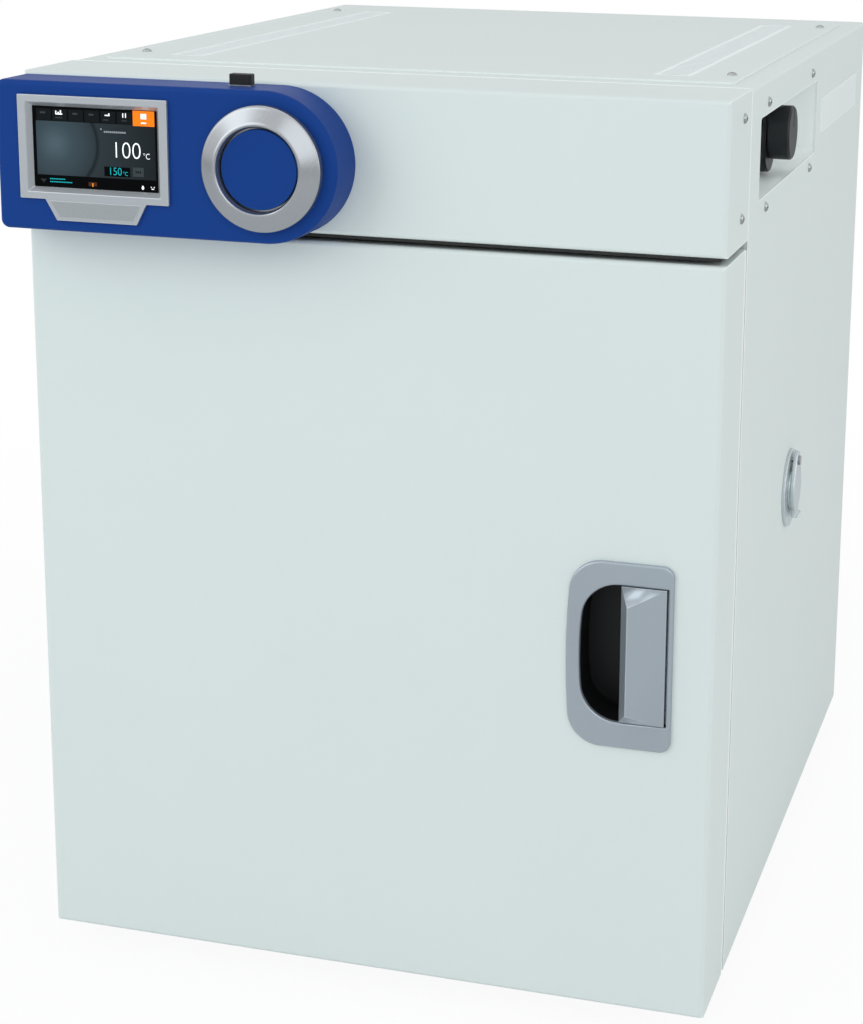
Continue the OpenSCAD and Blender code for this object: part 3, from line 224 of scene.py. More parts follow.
def screen_picture(centre, radius_mm):
    """The screen's dark picture: near black, with a grey-teal glow and thin arcs about its middle."""
    material, tree, shader, place = start("screen_backdrop")
    seat = add(tree, "ShaderNodeMapping", {"Location": centre, "Scale": (radius_mm * MM, 1.0, radius_mm * MM)},
               {"Vector": place}, vector_type="TEXTURE")
    glow = add(tree, "ShaderNodeTexGradient", gradient_type="SPHERICAL",
               links={"Vector": seat.outputs["Vector"]})
    shade = add(tree, "ShaderNodeValToRGB", links={"Fac": glow.outputs["Fac"]})
    ramp = shade.color_ramp
    ramp.elements[0].position, ramp.elements[0].color = 0.0, linear("#15181b")
    ramp.elements[1].position, ramp.elements[1].color = 0.97, linear("#44525a")
    for at, colour in ((0.3, "#20262a"), (0.61, "#283034"), (0.64, "#191f22"), (0.66, "#2a3338"),
                       (0.85, "#36434a")):
        ramp.elements.new(at).color = linear(colour)
    feed(tree, shader, Base_Color=shade.outputs["Color"], Emission_Color=shade.outputs["Color"])
    shader.inputs["Emission Strength"].default_value = 0.45
    shader.inputs["Roughness"].default_value = 0.2
    shader.inputs["Specular IOR Level"].default_value = 0.05
    return material


# Powder-coated steel: a soft satin with a faint orange peel, and a painted highlight along its folds and edges.
powder_coat = moulded("powder_coated_steel", "#dee7e5", "#e1e9e7", 0.47, 1.4, 0.02, 0.0, 0.2, 0.25, "#fafdfc")
# The front edge of the outer wrap is hemmed; the hem is painted much paler than the panels, a painted highlight
# standing in for the bright line its fold catches.
hem_highlight_paint = moulded("hem_painted_highlight", "#f8fcfb", "#fbfdfd", 0.3, 1.4, 0.02, 0.1, 0.2, 0.4)
# The pocket and its rim are moulded in a whiter plastic than the panels, made whiter still as painted light
# standing in for the light inside the pocket, with a painted highlight along its edges.
pocket_plastic = moulded("moulded_pocket_abs", "#f7fcfb", "#fafefd", 0.32, 1.0, 0.02, 0.0, 0.2, 0.4, "#feffff")
# The slotted strips are moulded polycarbonate, bluer and paler than the panels.
vent_plastic = moulded("moulded_vent_polycarbonate", "#f0f8f8", "#f5fbfb", 0.3, 1.0)
# Bare polyester film plate: matte, a little cooler than the panel under it, with a painted highlight along its
# edges.
film_plate = moulded("polyester_film", "#e8f0ef", "#ebf2f1", 0.4, 0.8, edge="#f9fdfc")
# Satin moulded ABS, deep blue, with a painted highlight along its edges.
blue_abs = moulded("blue_abs", "#103c87", "#123f8c", 0.46, 0.9, 0.015, 0.0, 0.15, 0.1, "#2857a2")
# Black ABS with a spark-eroded grain, and a smoother grade for the knob and the screen's edge.
black_abs = moulded("black_grained_abs", "#0d0e10", "#131416", 0.5, 0.7, 0.04, 0.0, 0.3, 0.3)
knob_abs = moulded("black_satin_abs", "#14161a", "#1b1e23", 0.42, 0.9, 0.02, 0.0, 0.3, 0.3)
black_gloss = moulded("black_polycarbonate", "#0a0b0d", "#0e0f11", 0.22, 1.2, 0.01, 0.0, 0.2, 0.3)
# Rocker nylon: black, a shade lighter than its bezel, faintly waxy.
rocker_nylon = moulded("rocker_nylon", "#1d1e21", "#232428", 0.35, 0.6)
# Moulded rubber: dull black with a dusty skin.
foot_rubber = moulded("foot_rubber", "#161616", "#1e1e1d", 0.7, 1.1, 0.05)
# Silicone profiles: soft sheen, no coat, slightly cloudy.
gasket_silicone = moulded("gasket_silicone", "#8d9192", "#989c9d", 0.55, 1.5, 0.03)
seal_silicone = moulded("seal_silicone", "#d9dad4", "#e2e3dd", 0.5, 1.5, 0.03)
# Circuit boards under green solder mask.
solder_mask = moulded("board_solder_mask", "#1c5a37", "#246743", 0.35, 2.0)
# Stoved enamel on the motor's can.
motor_enamel = moulded("motor_enamel", "#4a4e52", "#54595d", 0.4, 1.2)
# Mineral wool: loose pale fibres with a deep nap.
wool = moulded("mineral_wool", "#cfc6a4", "#ece5cb", 0.9, 1.6, 0.6, 0.0, 0.9)

# Stainless steel, brushed along X, and along Z for the door's inside and the side strips.
steel_x = metal("stainless_brushed_x", "#b4b8ba", "#cdd0d1", 0.3, 0.5, (0.02, 1, 1))
steel_z = metal("stainless_brushed_z", "#b4b8ba", "#cdd0d1", 0.3, 0.5, (1, 1, 0.02))
# Polished wire and plated fixings: clean and mirror-like.
plated = metal("nickel_plated_steel", "#8f9295", "#b2b5b7", 0.2, 2.0)
# Zinc-plated sheet: dull, with soft spangles about a centimetre across.
zinc = metal("zinc_plated_sheet", "#a6abad", "#bec3c5", 0.38, 9.0)
# Die-cast aluminium: grey with a fine sandy skin.
die_cast = metal("die_cast_aluminium", "#c2c4c7", "#d4d5d8", 0.42, 0.8)
# Sintered bronze bush: open, dull and warm.
sintered_brass = metal("sintered_brass", "#a98547", "#c29d5b", 0.45, 0.5)
# Heater sheath: nickel steel, browned in patches by heat.
sheath = metal("heater_sheath", "#5b4a43", "#7b6a60", 0.5, 6.0)

# Silver-lacquered ABS: the bezel and port light and neutral, the handle a little bluer and darker. The fourth
# colour of each is a painted highlight along its edges.
bezel_silver = silver_lacquer("silver_lacquered_bezel", "#a8abb0", "#b6b9bd", "#b3b8bd", "#dde1e3", 0.32, 0.5)
tab_silver = silver_lacquer("grained_silver_tab", "#919499", "#a8abae", "#9fa5a9", "#d5d9db", 0.38, 0.5)
handle_silver = silver_lacquer("silver_lacquered_handle", "#9b9ea6", "#a9adb4", "#a9b6bf", "#e8eef1", 0.3, 0.5)
port_silver = silver_lacquer("silver_lacquered_port", "#b9c1c4", "#c4ccd0", "#c6d0d3", "#eef3f4", 0.3, 0.5)
glass = float_glass()
ring_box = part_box("jog_ring")
dial_axis = [(ring_box[0][i] + ring_box[1][i]) / 2 for i in range(3)]
ring_finish = turned_silver(dial_axis)

FINISH = {
    powder_coat: ["outer_wrap", "top_cover", "rear_panel", "front_frame", "fascia", "door_skin"],
    pocket_plastic: ["side_pocket"],
    vent_plastic: ["top_vents"],
    film_plate: ["side_plate"],
    blue_abs: ["control_housing", "dial_button"],
    black_abs: ["switch_body", "handle_cup", "power_inlet", "usb_cap"],
    knob_abs: ["limiter_knob", "limiter_thermostat"],
    black_gloss: ["display_glass"],
    rocker_nylon: ["power_rocker"],
    foot_rubber: ["feet"],
    gasket_silicone: ["door_gasket"],
    seal_silicone: ["glass_seal"],
    solder_mask: ["display_board", "control_board"],
    motor_enamel: ["fan_motor"],
    wool: ["insulation", "door_insulation"],
    steel_x: ["chamber_liner", "rear_baffle", "shelf_runners", "hinge_brackets", "glass_hinge_brackets"],
    steel_z: ["door_inner_panel", "shelf_uprights", "latch_arm", "catch_spring", "glass_clips",
              "temperature_sensor"],
    plated: ["cabinet_screws", "wire_shelves", "hinge_pins", "paddle_pin", "paddle_spring", "port_cover_pin",
             "usb_socket"],
    zinc: ["bottom_plate", "insulation_cover", "electronics_deck", "dial_encoder", "power_supply"],
    die_cast: ["fan_impeller"],
    sintered_brass: ["hinge_bushes"],
    sheath: ["ring_heater"],
    bezel_silver: ["display_bezel"],
    handle_silver: ["handle_frame", "handle_paddle"],
    port_silver: ["port_sleeve", "port_cover"],
    ring_finish: ["jog_ring"],
    glass: ["glass_pane"],
}
for finish, names in FINISH.items():
    for name in names:
        for slot in nodes[name].material_slots:
            slot.material = finish
finish_of = {name: finish for finish, names in FINISH.items() for name in names}
body_of = {name: body for body, names in frame["record"]["behaviour"]["bodies"].items() for name in names}


def place_piece(name, mesh, finish, body):
    """Puts a finished mesh into the scene as one piece that rides on a body, its flats shaded flat."""
    made = bpy.data.objects.new(name, mesh)
    even = made.modifiers.new("even_shading", "WEIGHTED_NORMAL")
    even.keep_sharp = True
    bpy.context.scene.collection.objects.link(made)
    mesh.materials.clear()
    mesh.materials.append(finish)
    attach(made, body)
    return made


def verts_of(result):
    """The vertices that a bmesh operator made."""
    return [item for item in result["geom"] if isinstance(item, bmesh.types.BMVert)]


def close_mesh(name, shape, smooth_deg=0):
    """Turns a bmesh into a mesh, smooth where its faces meet at less than an angle."""
    for face in shape.faces:
        face.smooth = smooth_deg > 0
    for edge in shape.edges:
        if len(edge.link_faces) == 2:
            edge.smooth = edge.calc_face_angle(0.0) < math.radians(smooth_deg)
    mesh = bpy.data.meshes.new(name)
    shape.to_mesh(mesh)
    shape.free()
    return mesh


def softened(node_name, piece_name, width_mm, segments=3, sharp_deg=28, beyond_x=None, shift_mm=0.0):
    """Replaces a CAD node by a copy whose sharp edges are rounded as a mould or a press rounds them."""
    shape = bmesh.new()
    shape.from_mesh(nodes[node_name].data)
    bmesh.ops.remove_doubles(shape, verts=shape.verts, dist=WELD)
    bmesh.ops.dissolve_limit(shape, angle_limit=math.radians(0.6), verts=shape.verts, edges=shape.edges)
    if beyond_x is not None:
        outer = [v for v in shape.verts if v.co.x > beyond_x]
        bmesh.ops.translate(shape, verts=outer, vec=(shift_mm * MM, 0, 0))
    sharp = [edge for edge in shape.edges
             if len(edge.link_faces) == 2 and edge.calc_face_angle(0.0) > math.radians(sharp_deg)]
    bmesh.ops.bevel(shape, geom=sharp, offset=width_mm * MM, offset_type="OFFSET", segments=segments,
                    affect="EDGES", profile=0.5, material=-1, clamp_overlap=True)
    mesh = close_mesh(piece_name, shape, 45)
    made = place_piece(piece_name, mesh, finish_of[node_name], body_of[node_name])
    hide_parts(node_name)


softened("display_bezel", "screen_surround", 0.45)
softened("usb_cap", "usb_cap_soft", 0.7)
softened("power_rocker", "rocker_soft", 0.5)
softened("port_cover", "port_flap", 0.8)
softened("port_sleeve", "port_collar", 0.5)


def slab(shape, low, high):
    """Adds a box between two corners."""
    size = [high[i] - low[i] for i in range(3)]
    middle = [(high[i] + low[i]) / 2 for i in range(3)]
    bmesh.ops.create_cube(shape, size=1.0, matrix=Matrix.Translation(middle) @ Matrix.Diagonal((*size, 1)))


def rounded_plate(shape, corners, y):
    """Draws a plate's outline in XZ: corners are (x, z, radius_mm), and each is rounded in its turn."""
    face = shape.faces.new([shape.verts.new((x, y, z)) for x, z, radius_mm in corners])
    for vert, (x, z, radius_mm) in list(zip(face.verts, corners)):
        if radius_mm:
            bmesh.ops.bevel(shape, geom=[vert], offset=radius_mm * MM, offset_type="OFFSET", segments=12,
                            affect="VERTICES", profile=0.5, material=-1)


def turned(shape, outline, steps=96):
    """Spins an outline of (radius, height) in mm about Z; one that starts on the axis stays open there."""
    dots = [shape.verts.new((r * MM, 0, h * MM)) for r, h in outline]
    pairs = list(zip(dots, dots[1:])) + ([(dots[-1], dots[0])] if outline[0][0] else [])
    edges = [shape.edges.new(pair) for pair in pairs]
    bmesh.ops.spin(shape, geom=dots + edges, cent=(0, 0, 0), axis=(0, 0, 1), angle=math.tau, steps=steps,
                   use_merge=True)
    bmesh.ops.remove_doubles(shape, verts=shape.verts, dist=0.001 * MM)
    bmesh.ops.recalc_face_normals(shape, faces=shape.faces)


# A bright band round the foot of the socket's cap.
cap_low, cap_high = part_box("usb_cap")
housing_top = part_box("control_housing")[1][2]
shape = bmesh.new()
slab(shape, (cap_low[0] - 0.2 * MM, cap_low[1] - 0.2 * MM, housing_top + 0.3 * MM),
     (cap_high[0] + 0.2 * MM, cap_high[1] + 0.2 * MM, housing_top + 1.2 * MM))
place_piece("cap_band", close_mesh("cap_band", shape), plated, "usb_cap")

# The tab under the screen has a sunk field with a fine grain; its border stands round it.
glass_low, glass_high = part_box("display_glass")
tab_x = (glass_low[0] + glass_high[0]) / 2
tab_z = (glass_low[2] + glass_high[2]) / 2 - 27.6 * MM
tab_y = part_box("display_bezel")[0][1]
shape = bmesh.new()
rounded_plate(shape, [(tab_x - 33.2 * MM, tab_z - 8.8 * MM, 0), (tab_x + 35.2 * MM, tab_z - 8.8 * MM, 0),
                      (tab_x + 29.2 * MM, tab_z - 20.4 * MM, 0), (tab_x - 26.2 * MM, tab_z - 20.4 * MM, 0)],
              tab_y - 0.25 * MM)
grown = bmesh.ops.extrude_face_region(shape, geom=shape.faces[:])
bmesh.ops.translate(shape, verts=verts_of(grown), vec=(0, 0.5 * MM, 0))
bmesh.ops.recalc_face_normals(shape, faces=shape.faces)
bmesh.ops.bevel(shape, geom=[e for e in shape.edges if all(v.co.y < tab_y for v in e.verts)], offset=0.22 * MM,
                offset_type="OFFSET", segments=2, affect="EDGES", profile=0.5, material=-1)
place_piece("tab_field", close_mesh("tab_field", shape), tab_silver, "cabinet")

# Handle frame: one smooth outline outside and in, with a rolled rim round the finger recess.
low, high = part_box("handle_frame")
paddle_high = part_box("handle_paddle")[1]
mid_z = (low[2] + high[2]) / 2
in_x0, in_x1 = low[0] + 9.6 * MM, high[0] - 3.5 * MM
in_z0, in_z1 = low[2] + 18.7 * MM, high[2] - 16 * MM
shape = bmesh.new()
rounded_plate(shape, [(high[0], low[2], 8), (high[0], high[2], 8), (low[0] + 4 * MM, high[2], 22),
                      (low[0], mid_z, 30), (low[0] + 4 * MM, low[2], 22)], low[1])
bmesh.ops.delete(shape, geom=shape.faces[:], context="FACES_ONLY")
rounded_plate(shape, [(in_x1, in_z0, 0), (in_x1, in_z1, 0), (in_x0 + 4.5 * MM, in_z1, 24), (in_x0, mid_z, 24),
                      (in_x0 + 4.5 * MM, in_z0, 24)], low[1])
bmesh.ops.delete(shape, geom=shape.faces[:], context="FACES_ONLY")
bmesh.ops.translate(shape, verts=shape.verts, vec=(0, high[1] - low[1], 0))
bmesh.ops.triangle_fill(shape, edges=shape.edges[:], use_beauty=True, normal=(0, -1, 0))
front = shape.faces[:]
grown = bmesh.ops.extrude_face_region(shape, geom=front)
front = [f for f in grown["geom"] if isinstance(f, bmesh.types.BMFace)]
bmesh.ops.translate(shape, verts=verts_of(grown), vec=(0, low[1] - high[1] + 1.35 * MM, 0))
bmesh.ops.recalc_face_normals(shape, faces=shape.faces)
for width_mm, rise_mm in ((0.2, 0.55), (0.35, 0.42), (0.5, 0.26), (0.6, 0.12)):
    bmesh.ops.inset_region(shape, faces=front, thickness=width_mm * MM, depth=0.0, use_even_offset=True,
                           use_boundary=True)
    bmesh.ops.translate(shape, verts=list({v for f in front for v in f.verts}), vec=(0, -rise_mm * MM, 0))
handle = place_piece("handle_bezel", close_mesh("handle_bezel", shape, 40), handle_silver, "door")
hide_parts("handle_frame")
# The paddle's far side reaches closer to the frame than the plain one, as a moulded one does.
softened("handle_paddle", "paddle_grip", 1.1, 4, beyond_x=paddle_high[0] - 0.3 * MM, shift_mm=0.3)
# A silver ledge under the gap beside the paddle.
shape = bmesh.new()
slab(shape, (in_x1 - 1.15 * MM, high[1] + 1.7 * MM, in_z0 + 1 * MM),
     (in_x1 - 0.05 * MM, high[1] + 3.2 * MM, in_z1 - 1 * MM))
place_piece("handle_ledge", close_mesh("handle_ledge", shape), handle_silver, "door")

# Jog ring: rounded rim, conical face and a bright rolled lip, turned about the dial's axis.
ring_r_mm = (ring_box[1][0] - ring_box[0][0]) / 2 / MM
ring_d_mm = (ring_box[1][1] - ring_box[0][1]) / MM + 0.4
face_y = ring_box[1][1] + 0.4 * MM
button_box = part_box("dial_button")
disc_r_mm = (button_box[1][0] - button_box[0][0]) / 2 / MM
seat = Matrix.Translation((dial_axis[0], face_y, dial_axis[2])) @ Matrix.Rotation(math.pi / 2, 4, "X")
hole_mm = disc_r_mm + 1.1
SHAFT_HOLE_MM, RING_STEPS = 8.1, 128
shape = bmesh.new()
turned(shape, [(SHAFT_HOLE_MM, 0.4), (ring_r_mm - 0.5, 0.4), (ring_r_mm, 0.9), (ring_r_mm, 5.0),
               (ring_r_mm - 0.2, 5.8),
               (ring_r_mm - 0.7, 6.4), (ring_r_mm - 1.6, 6.9), (ring_r_mm - 2.6, 7.3),
               (hole_mm + 4.2, ring_d_mm - 0.8), (hole_mm + 3.4, ring_d_mm - 0.35),
               (hole_mm + 2.6, ring_d_mm - 0.05), (hole_mm + 1.9, ring_d_mm - 0.1),
               (hole_mm + 1.2, ring_d_mm - 0.6), (hole_mm + 0.4, ring_d_mm - 3.4), (hole_mm, ring_d_mm - 4.2),
               (hole_mm, 3.2), (SHAFT_HOLE_MM, 3.2)], RING_STEPS)
shape.transform(seat)
ring = place_piece("jog_wheel", close_mesh("jog_wheel", shape, 30), ring_finish, "jog_ring")
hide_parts("jog_ring")

# Centre button: a disc with a soft rim and a very shallow dish for a fingertip, on a round stem.
top_mm = ring_d_mm - 4.1
STEM_R = 3.0 * MM
shape = bmesh.new()
turned(shape, [(0, top_mm - 0.5), (10, top_mm - 0.42), (20, top_mm - 0.2), (disc_r_mm - 1.6, top_mm - 0.02),
               (disc_r_mm - 0.7, top_mm - 0.15), (disc_r_mm - 0.15, top_mm - 0.6), (disc_r_mm, top_mm - 1.2),
               (disc_r_mm, top_mm - 3.4), (0, top_mm - 3.4)], 96)
bmesh.ops.create_cone(shape, cap_ends=True, segments=32, radius1=STEM_R, radius2=STEM_R,
                      depth=(top_mm - 3.4 + 9) * MM, matrix=Matrix.Translation((0, 0, (top_mm - 12.5) / 2 * MM)))
shape.transform(seat)
button = place_piece("dial_cap", close_mesh("dial_cap", shape, 30), blue_abs, "dial_button")
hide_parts("dial_button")

# Pan-head screws with a cross recess, one on each CAD screw.
HEAD_H_MM = 2.4
shape = bmesh.new()
turned(shape, [(0, -4.5), (1.9, -4.5), (1.9, 0.0), (3.45, 0.0), (3.6, 0.3), (3.6, 0.6), (3.35, 1.2), (2.8, 1.75),
               (2.0, 2.15), (1.0, 2.35), (0, HEAD_H_MM)], 32)
blank = bpy.data.objects.new("screw_blank", close_mesh("screw_blank", shape, 40))
shape = bmesh.new()
bmesh.ops.create_grid(shape, x_segments=1, y_segments=1, size=0.42 * MM)
for side in shape.edges[:]:
    away = (side.verts[0].co + side.verts[1].co).normalized() * 1.5 * MM
    arm = bmesh.ops.extrude_edge_only(shape, edges=[side])
    bmesh.ops.translate(shape, verts=verts_of(arm), vec=away)
walls = bmesh.ops.extrude_face_region(shape, geom=shape.faces[:])
bmesh.ops.translate(shape, verts=verts_of(walls), vec=(0, 0, 2 * MM))
bmesh.ops.recalc_face_normals(shape, faces=shape.faces)
bmesh.ops.translate(shape, verts=shape.verts, vec=(0, 0, 1.2 * MM))
punch = bpy.data.objects.new("cross_punch", close_mesh("cross_punch", shape))
for item in (blank, punch):
    bpy.context.scene.collection.objects.link(item)
cut = blank.modifiers.new("cross", "BOOLEAN")
cut.operation, cut.solver, cut.object = "DIFFERENCE", "EXACT", punch
bpy.context.view_layer.update()
head_mesh = bpy.data.meshes.new_from_object(blank.evaluated_get(bpy.context.evaluated_depsgraph_get()))
for item in (blank, punch):
    bpy.data.objects.remove(item)

loose = bmesh.new()
loose.from_mesh(nodes["cabinet_screws"].data)
bmesh.ops.remove_doubles(loose, verts=loose.verts, dist=WELD)
heads = bmesh.new()
left = set(loose.verts)
middle = Vector([(cad_box[0][i] + cad_box[1][i]) / 2 for i in range(3)])
while left:
    island, queue = set(), [next(iter(left))]
    while queue:
        vert = queue.pop()
        if vert in island:
            continue
        island.add(vert)
        queue += [edge.other_vert(vert) for edge in vert.link_edges]
    left -= island
    low = Vector([min(v.co[i] for v in island) for i in range(3)])
    high = Vector([max(v.co[i] for v in island) for i in range(3)])
    reach = high - low
    axis = [i for i in range(3) if abs(reach[i] - reach[(i + 1) % 3]) > 0.05 * MM
            and abs(reach[i] - reach[(i + 2) % 3]) > 0.05 * MM][0]
    out = Vector([0, 0, 0])
    out[axis] = 1 if (low + high)[axis] / 2 > middle[axis] else -1
    tip = (low + high) / 2
    tip[axis] = high[axis] if out[axis] > 0 else low[axis]
    seat_at = Matrix.Translation(tip - out * HEAD_H_MM * MM) @ out.to_track_quat("Z", "Y").to_matrix().to_4x4()
    before = len(heads.verts)
    heads.from_mesh(head_mesh)
    heads.verts.ensure_lookup_table()
    bmesh.ops.transform(heads, matrix=seat_at @ Matrix.Rotation(tip[1] * 40, 4, "Z"), verts=heads.verts[before:])
loose.free()
screws = place_piece("cross_head_screws", close_mesh("cross_head_screws", heads, 40), plated, "cabinet")
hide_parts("cabinet_screws")

# The hem along the front edge of the outer wrap: up one side, over the top and down the other.
wrap_low, wrap_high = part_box("outer_wrap")
shape = bmesh.new()
path = [shape.verts.new(at) for at in ((wrap_low[0], wrap_low[1], wrap_low[2] + 2 * MM),
                                       (wrap_low[0], wrap_low[1], wrap_high[2]),
                                       (wrap_high[0], wrap_low[1], wrap_high[2]),
                                       (wrap_high[0], wrap_low[1], wrap_low[2] + 2 * MM))]
for pair in zip(path, path[1:]):
    shape.edges.new(pair)
bmesh.ops.bevel(shape, geom=path[1:3], offset=3 * MM, offset_type="OFFSET", segments=6, affect="VERTICES",
                profile=0.5, material=-1)
swept = bmesh.ops.extrude_edge_only(shape, edges=shape.edges[:])
bmesh.ops.translate(shape, verts=verts_of(swept), vec=(0, 1.7 * MM, 0))
bmesh.ops.translate(shape, verts=shape.verts, vec=(0, -0.45 * MM, 0))
bmesh.ops.recalc_face_normals(shape, faces=shape.faces)
# Its paint is a painted highlight, paler than the panels.
hem = place_piece("wrap_hem", close_mesh("wrap_hem", shape, 40), hem_highlight_paint, "cabinet")
wall = hem.modifiers.new("sheet", "SOLIDIFY")
wall.thickness, wall.offset = 0.5 * MM, 0.0
roll = hem.modifiers.new("rolled", "BEVEL")
roll.width, roll.segments, roll.limit_method = 0.2 * MM, 2, "ANGLE"

# The black lip under the fascia that closes the gap over the door, and the lip behind the door's free edge,
# painted in the hem's pale colour as a painted highlight along the door's edge.
fascia_low, fascia_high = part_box("fascia")
skin_low, skin_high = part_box("door_skin")
shape = bmesh.new()
# Painted shade: the strip's black also stands in for the shade inside the gap over the door.
slab(shape, (fascia_low[0] + 52 * MM, fascia_low[1] + 2.2 * MM, fascia_low[2] - 2.4 * MM),
     (fascia_high[0] - 4 * MM, fascia_low[1] + 52 * MM, fascia_low[2] + 0.4 * MM))
bmesh.ops.bevel(shape, geom=[e for e in shape.edges if all(v.co.z < fascia_low[2] - 2 * MM for v in e.verts)],
                offset=1.0 * MM, offset_type="OFFSET", segments=3, affect="EDGES", profile=0.5, material=-1)
place_piece("fascia_lip", close_mesh("fascia_lip", shape, 40), foot_rubber, "cabinet")
shape = bmesh.new()
slab(shape, (skin_high[0] - 3.4 * MM, skin_high[1] - 0.4 * MM, skin_low[2] + 1.5 * MM),
     (skin_high[0] - 0.3 * MM, wrap_low[1] - 0.75 * MM, skin_high[2] - 1.5 * MM))
bmesh.ops.bevel(shape, geom=[e for e in shape.edges if all(v.co.x > skin_high[0] - 1 * MM for v in e.verts)],
                offset=0.4 * MM, offset_type="OFFSET", segments=2, affect="EDGES", profile=0.5, material=-1)
# Painted highlight: the lip is pale so the band beside the door's edge reads bright.
place_piece("door_lip", close_mesh("door_lip", shape, 40), hem_highlight_paint, "door")

# The screen's picture, laid on the glass. Sizes in millimetres from the glass's lower left corner.
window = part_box("display_glass")
SCREEN_W, SCREEN_H = 92.2, 55.2
screen_x = (window[0][0] + window[1][0]) / 2 - SCREEN_W / 2 * MM
screen_z = (window[0][2] + window[1][2]) / 2 - SCREEN_H / 2 * MM
screen_y = window[0][1]
LAYER = 0.04 * MM


def patches(name, spots, finish, level):
    """Flat patches on the glass, each as left, right, bottom, top; higher levels lie over lower ones."""
    patch = bmesh.new()
    for left_u, right_u, low_v, high_v in spots:
        slab(patch, (screen_x + left_u * MM, screen_y - (level + 1) * LAYER, screen_z + low_v * MM),
             (screen_x + right_u * MM, screen_y - level * LAYER, screen_z + high_v * MM))
    place_piece(name, close_mesh(name, patch), finish, "cabinet")


def words(name, text, u, v, height, squeeze, finish, level, align="RIGHT", thin=0.0):
    """Digits on the screen, made a flat mesh with its place applied."""
    curve = bpy.data.curves.new(name + "_curve", "FONT")
    curve.body, curve.align_x, curve.size, curve.extrude = text, align, height * MM, 0.02 * MM
    curve.offset = -thin * MM
    holder = bpy.data.objects.new(name + "_text", curve)
    bpy.context.scene.collection.objects.link(holder)
    bpy.context.view_layer.update()
    mesh = bpy.data.meshes.new_from_object(holder.evaluated_get(bpy.context.evaluated_depsgraph_get()))
    bpy.data.objects.remove(holder)
    low = Vector((screen_x + u * MM, screen_y - (level + 1) * LAYER, screen_z + v * MM))
    upright = Matrix.Rotation(math.pi / 2, 4, "X") @ Matrix.Diagonal((squeeze, 1, 1, 1))
    mesh.transform(Matrix.Translation(low) @ upright)
    place_piece(name, mesh, finish, "cabinet")


white_light = lit("screen_white", "#eef1f3", 0.7)
teal_light = lit("screen_teal", "#1aa0a6", 0.6)
orange_light = lit("screen_orange", "#e8761a", 0.6)
caption_light = lit("screen_caption_grey", "#8b9397", 0.4)
ember_light = lit("screen_ember", "#4a2a18", 0.4)
flame_light = lit("screen_flame", "#e0893a", 0.6)
grey_light = lit("screen_grey", "#363d41", 0.4)
slate_light = lit("screen_slate", "#14181a", 0.3)
dark_light = lit("screen_black", "#030405", 0.05)
picture = screen_picture((screen_x + 16 * MM, screen_y, screen_z + 30 * MM), 88)

patches("screen_backdrop", [(0.1, SCREEN_W - 0.1, 0.1, SCREEN_H - 0.1)], picture, 0)
patches("screen_bars", [(0.1, 92.1, 0.1, 8.2), (0.1, 2.2, 8.2, 55.1), (90.6, 92.1, 8.2, 55.1),
                        (2.2, 74.2, 45.2, 55.1)], dark_light, 1)
patches("screen_cells", [(2.8 + i * 12.0, 13.8 + i * 12.0, 45.6, 53.6) for i in range(6)], slate_light, 2)
patches("screen_stop_cell", [(74.6, 90.4, 44.6, 54.9)], orange_light, 2)
patches("screen_stop_icon", [(80.4, 84.6, 49.4, 53.0), (80.6, 84.4, 46.3, 47.2)], white_light, 3)
patches("screen_icons", [(17.2, 22.4, 49.8, 50.6), (17.2, 18.0, 50.6, 52.4), (18.9, 19.9, 50.6, 51.6),
                         (20.6, 21.6, 50.6, 52.8), (54.0, 57.6, 50.4, 51.2), (56.6, 57.6, 51.2, 52.2),
                         (67.0, 67.7, 49.8, 52.8), (69.0, 69.7, 49.8, 52.8), (80.2, 81.2, 1.6, 4.2),
                         (79.8, 81.6, 2.2, 3.2), (87.0, 89.0, 2.0, 2.6), (86.6, 87.2, 3.2, 3.9),
                         (88.8, 89.4, 3.2, 3.9)],
        white_light, 3)
patches("screen_faint_icons", [(5.6, 9.6, 50.2, 51.4), (30.0, 33.6, 50.2, 51.4), (42.0, 45.6, 50.2, 51.4),
                               (4.6, 8.6, 4.6, 5.1), (5.4, 7.8, 3.6, 4.1), (6.3, 6.9, 2.6, 3.1),
                               (17.0, 22.4, 47.4, 48.0), (52.6, 56.6, 47.4, 48.0), (66.4, 70.2, 47.4, 48.0)],
        grey_light, 3)
patches("screen_caption", [(50.4, 51.4, 40.8, 41.8)] + [(53.0 + i * 1.5, 54.1 + i * 1.5, 39.0, 40.2)
                                                         for i in range(11)], caption_light, 2)
patches("screen_button", [(73.6, 81.6, 10.2, 16.4)], grey_light, 1)
patches("screen_button_mark", [(75.6 + i * 1.5, 76.6 + i * 1.5, 12.6, 14.0) for i in range(3)], slate_light, 2)
patches("screen_target_field", [(52.4, 71.6, 9.4, 16.0)], dark_light, 1)
patches("screen_notes", [(11.4 + i * 1.3, 12.4 + i * 1.3, 5.2, 5.9) for i in range(9)]
        + [(11.4 + i * 1.3, 12.4 + i * 1.3, 3.2, 3.9) for i in range(13)], teal_light, 2)
patches("screen_warmth", [(40.4, 46.6, 2.0, 4.6)], ember_light, 2)
patches("screen_flame", [(43.1, 43.9, 1.6, 4.0)], flame_light, 3)
words("screen_reading", "100", 80.4, 22.2, 16.2, 0.92, white_light, 2, thin=0.3)
words("screen_reading_unit", "°C", 81.4, 22.4, 5.6, 0.86, white_light, 2, "LEFT", thin=0.05)
words("screen_target", "150", 65.6, 10.4, 7.6, 0.9, teal_light, 2, thin=0.06)
words("screen_target_unit", "°C", 66.2, 10.4, 3.8, 0.9, teal_light, 2, "LEFT")

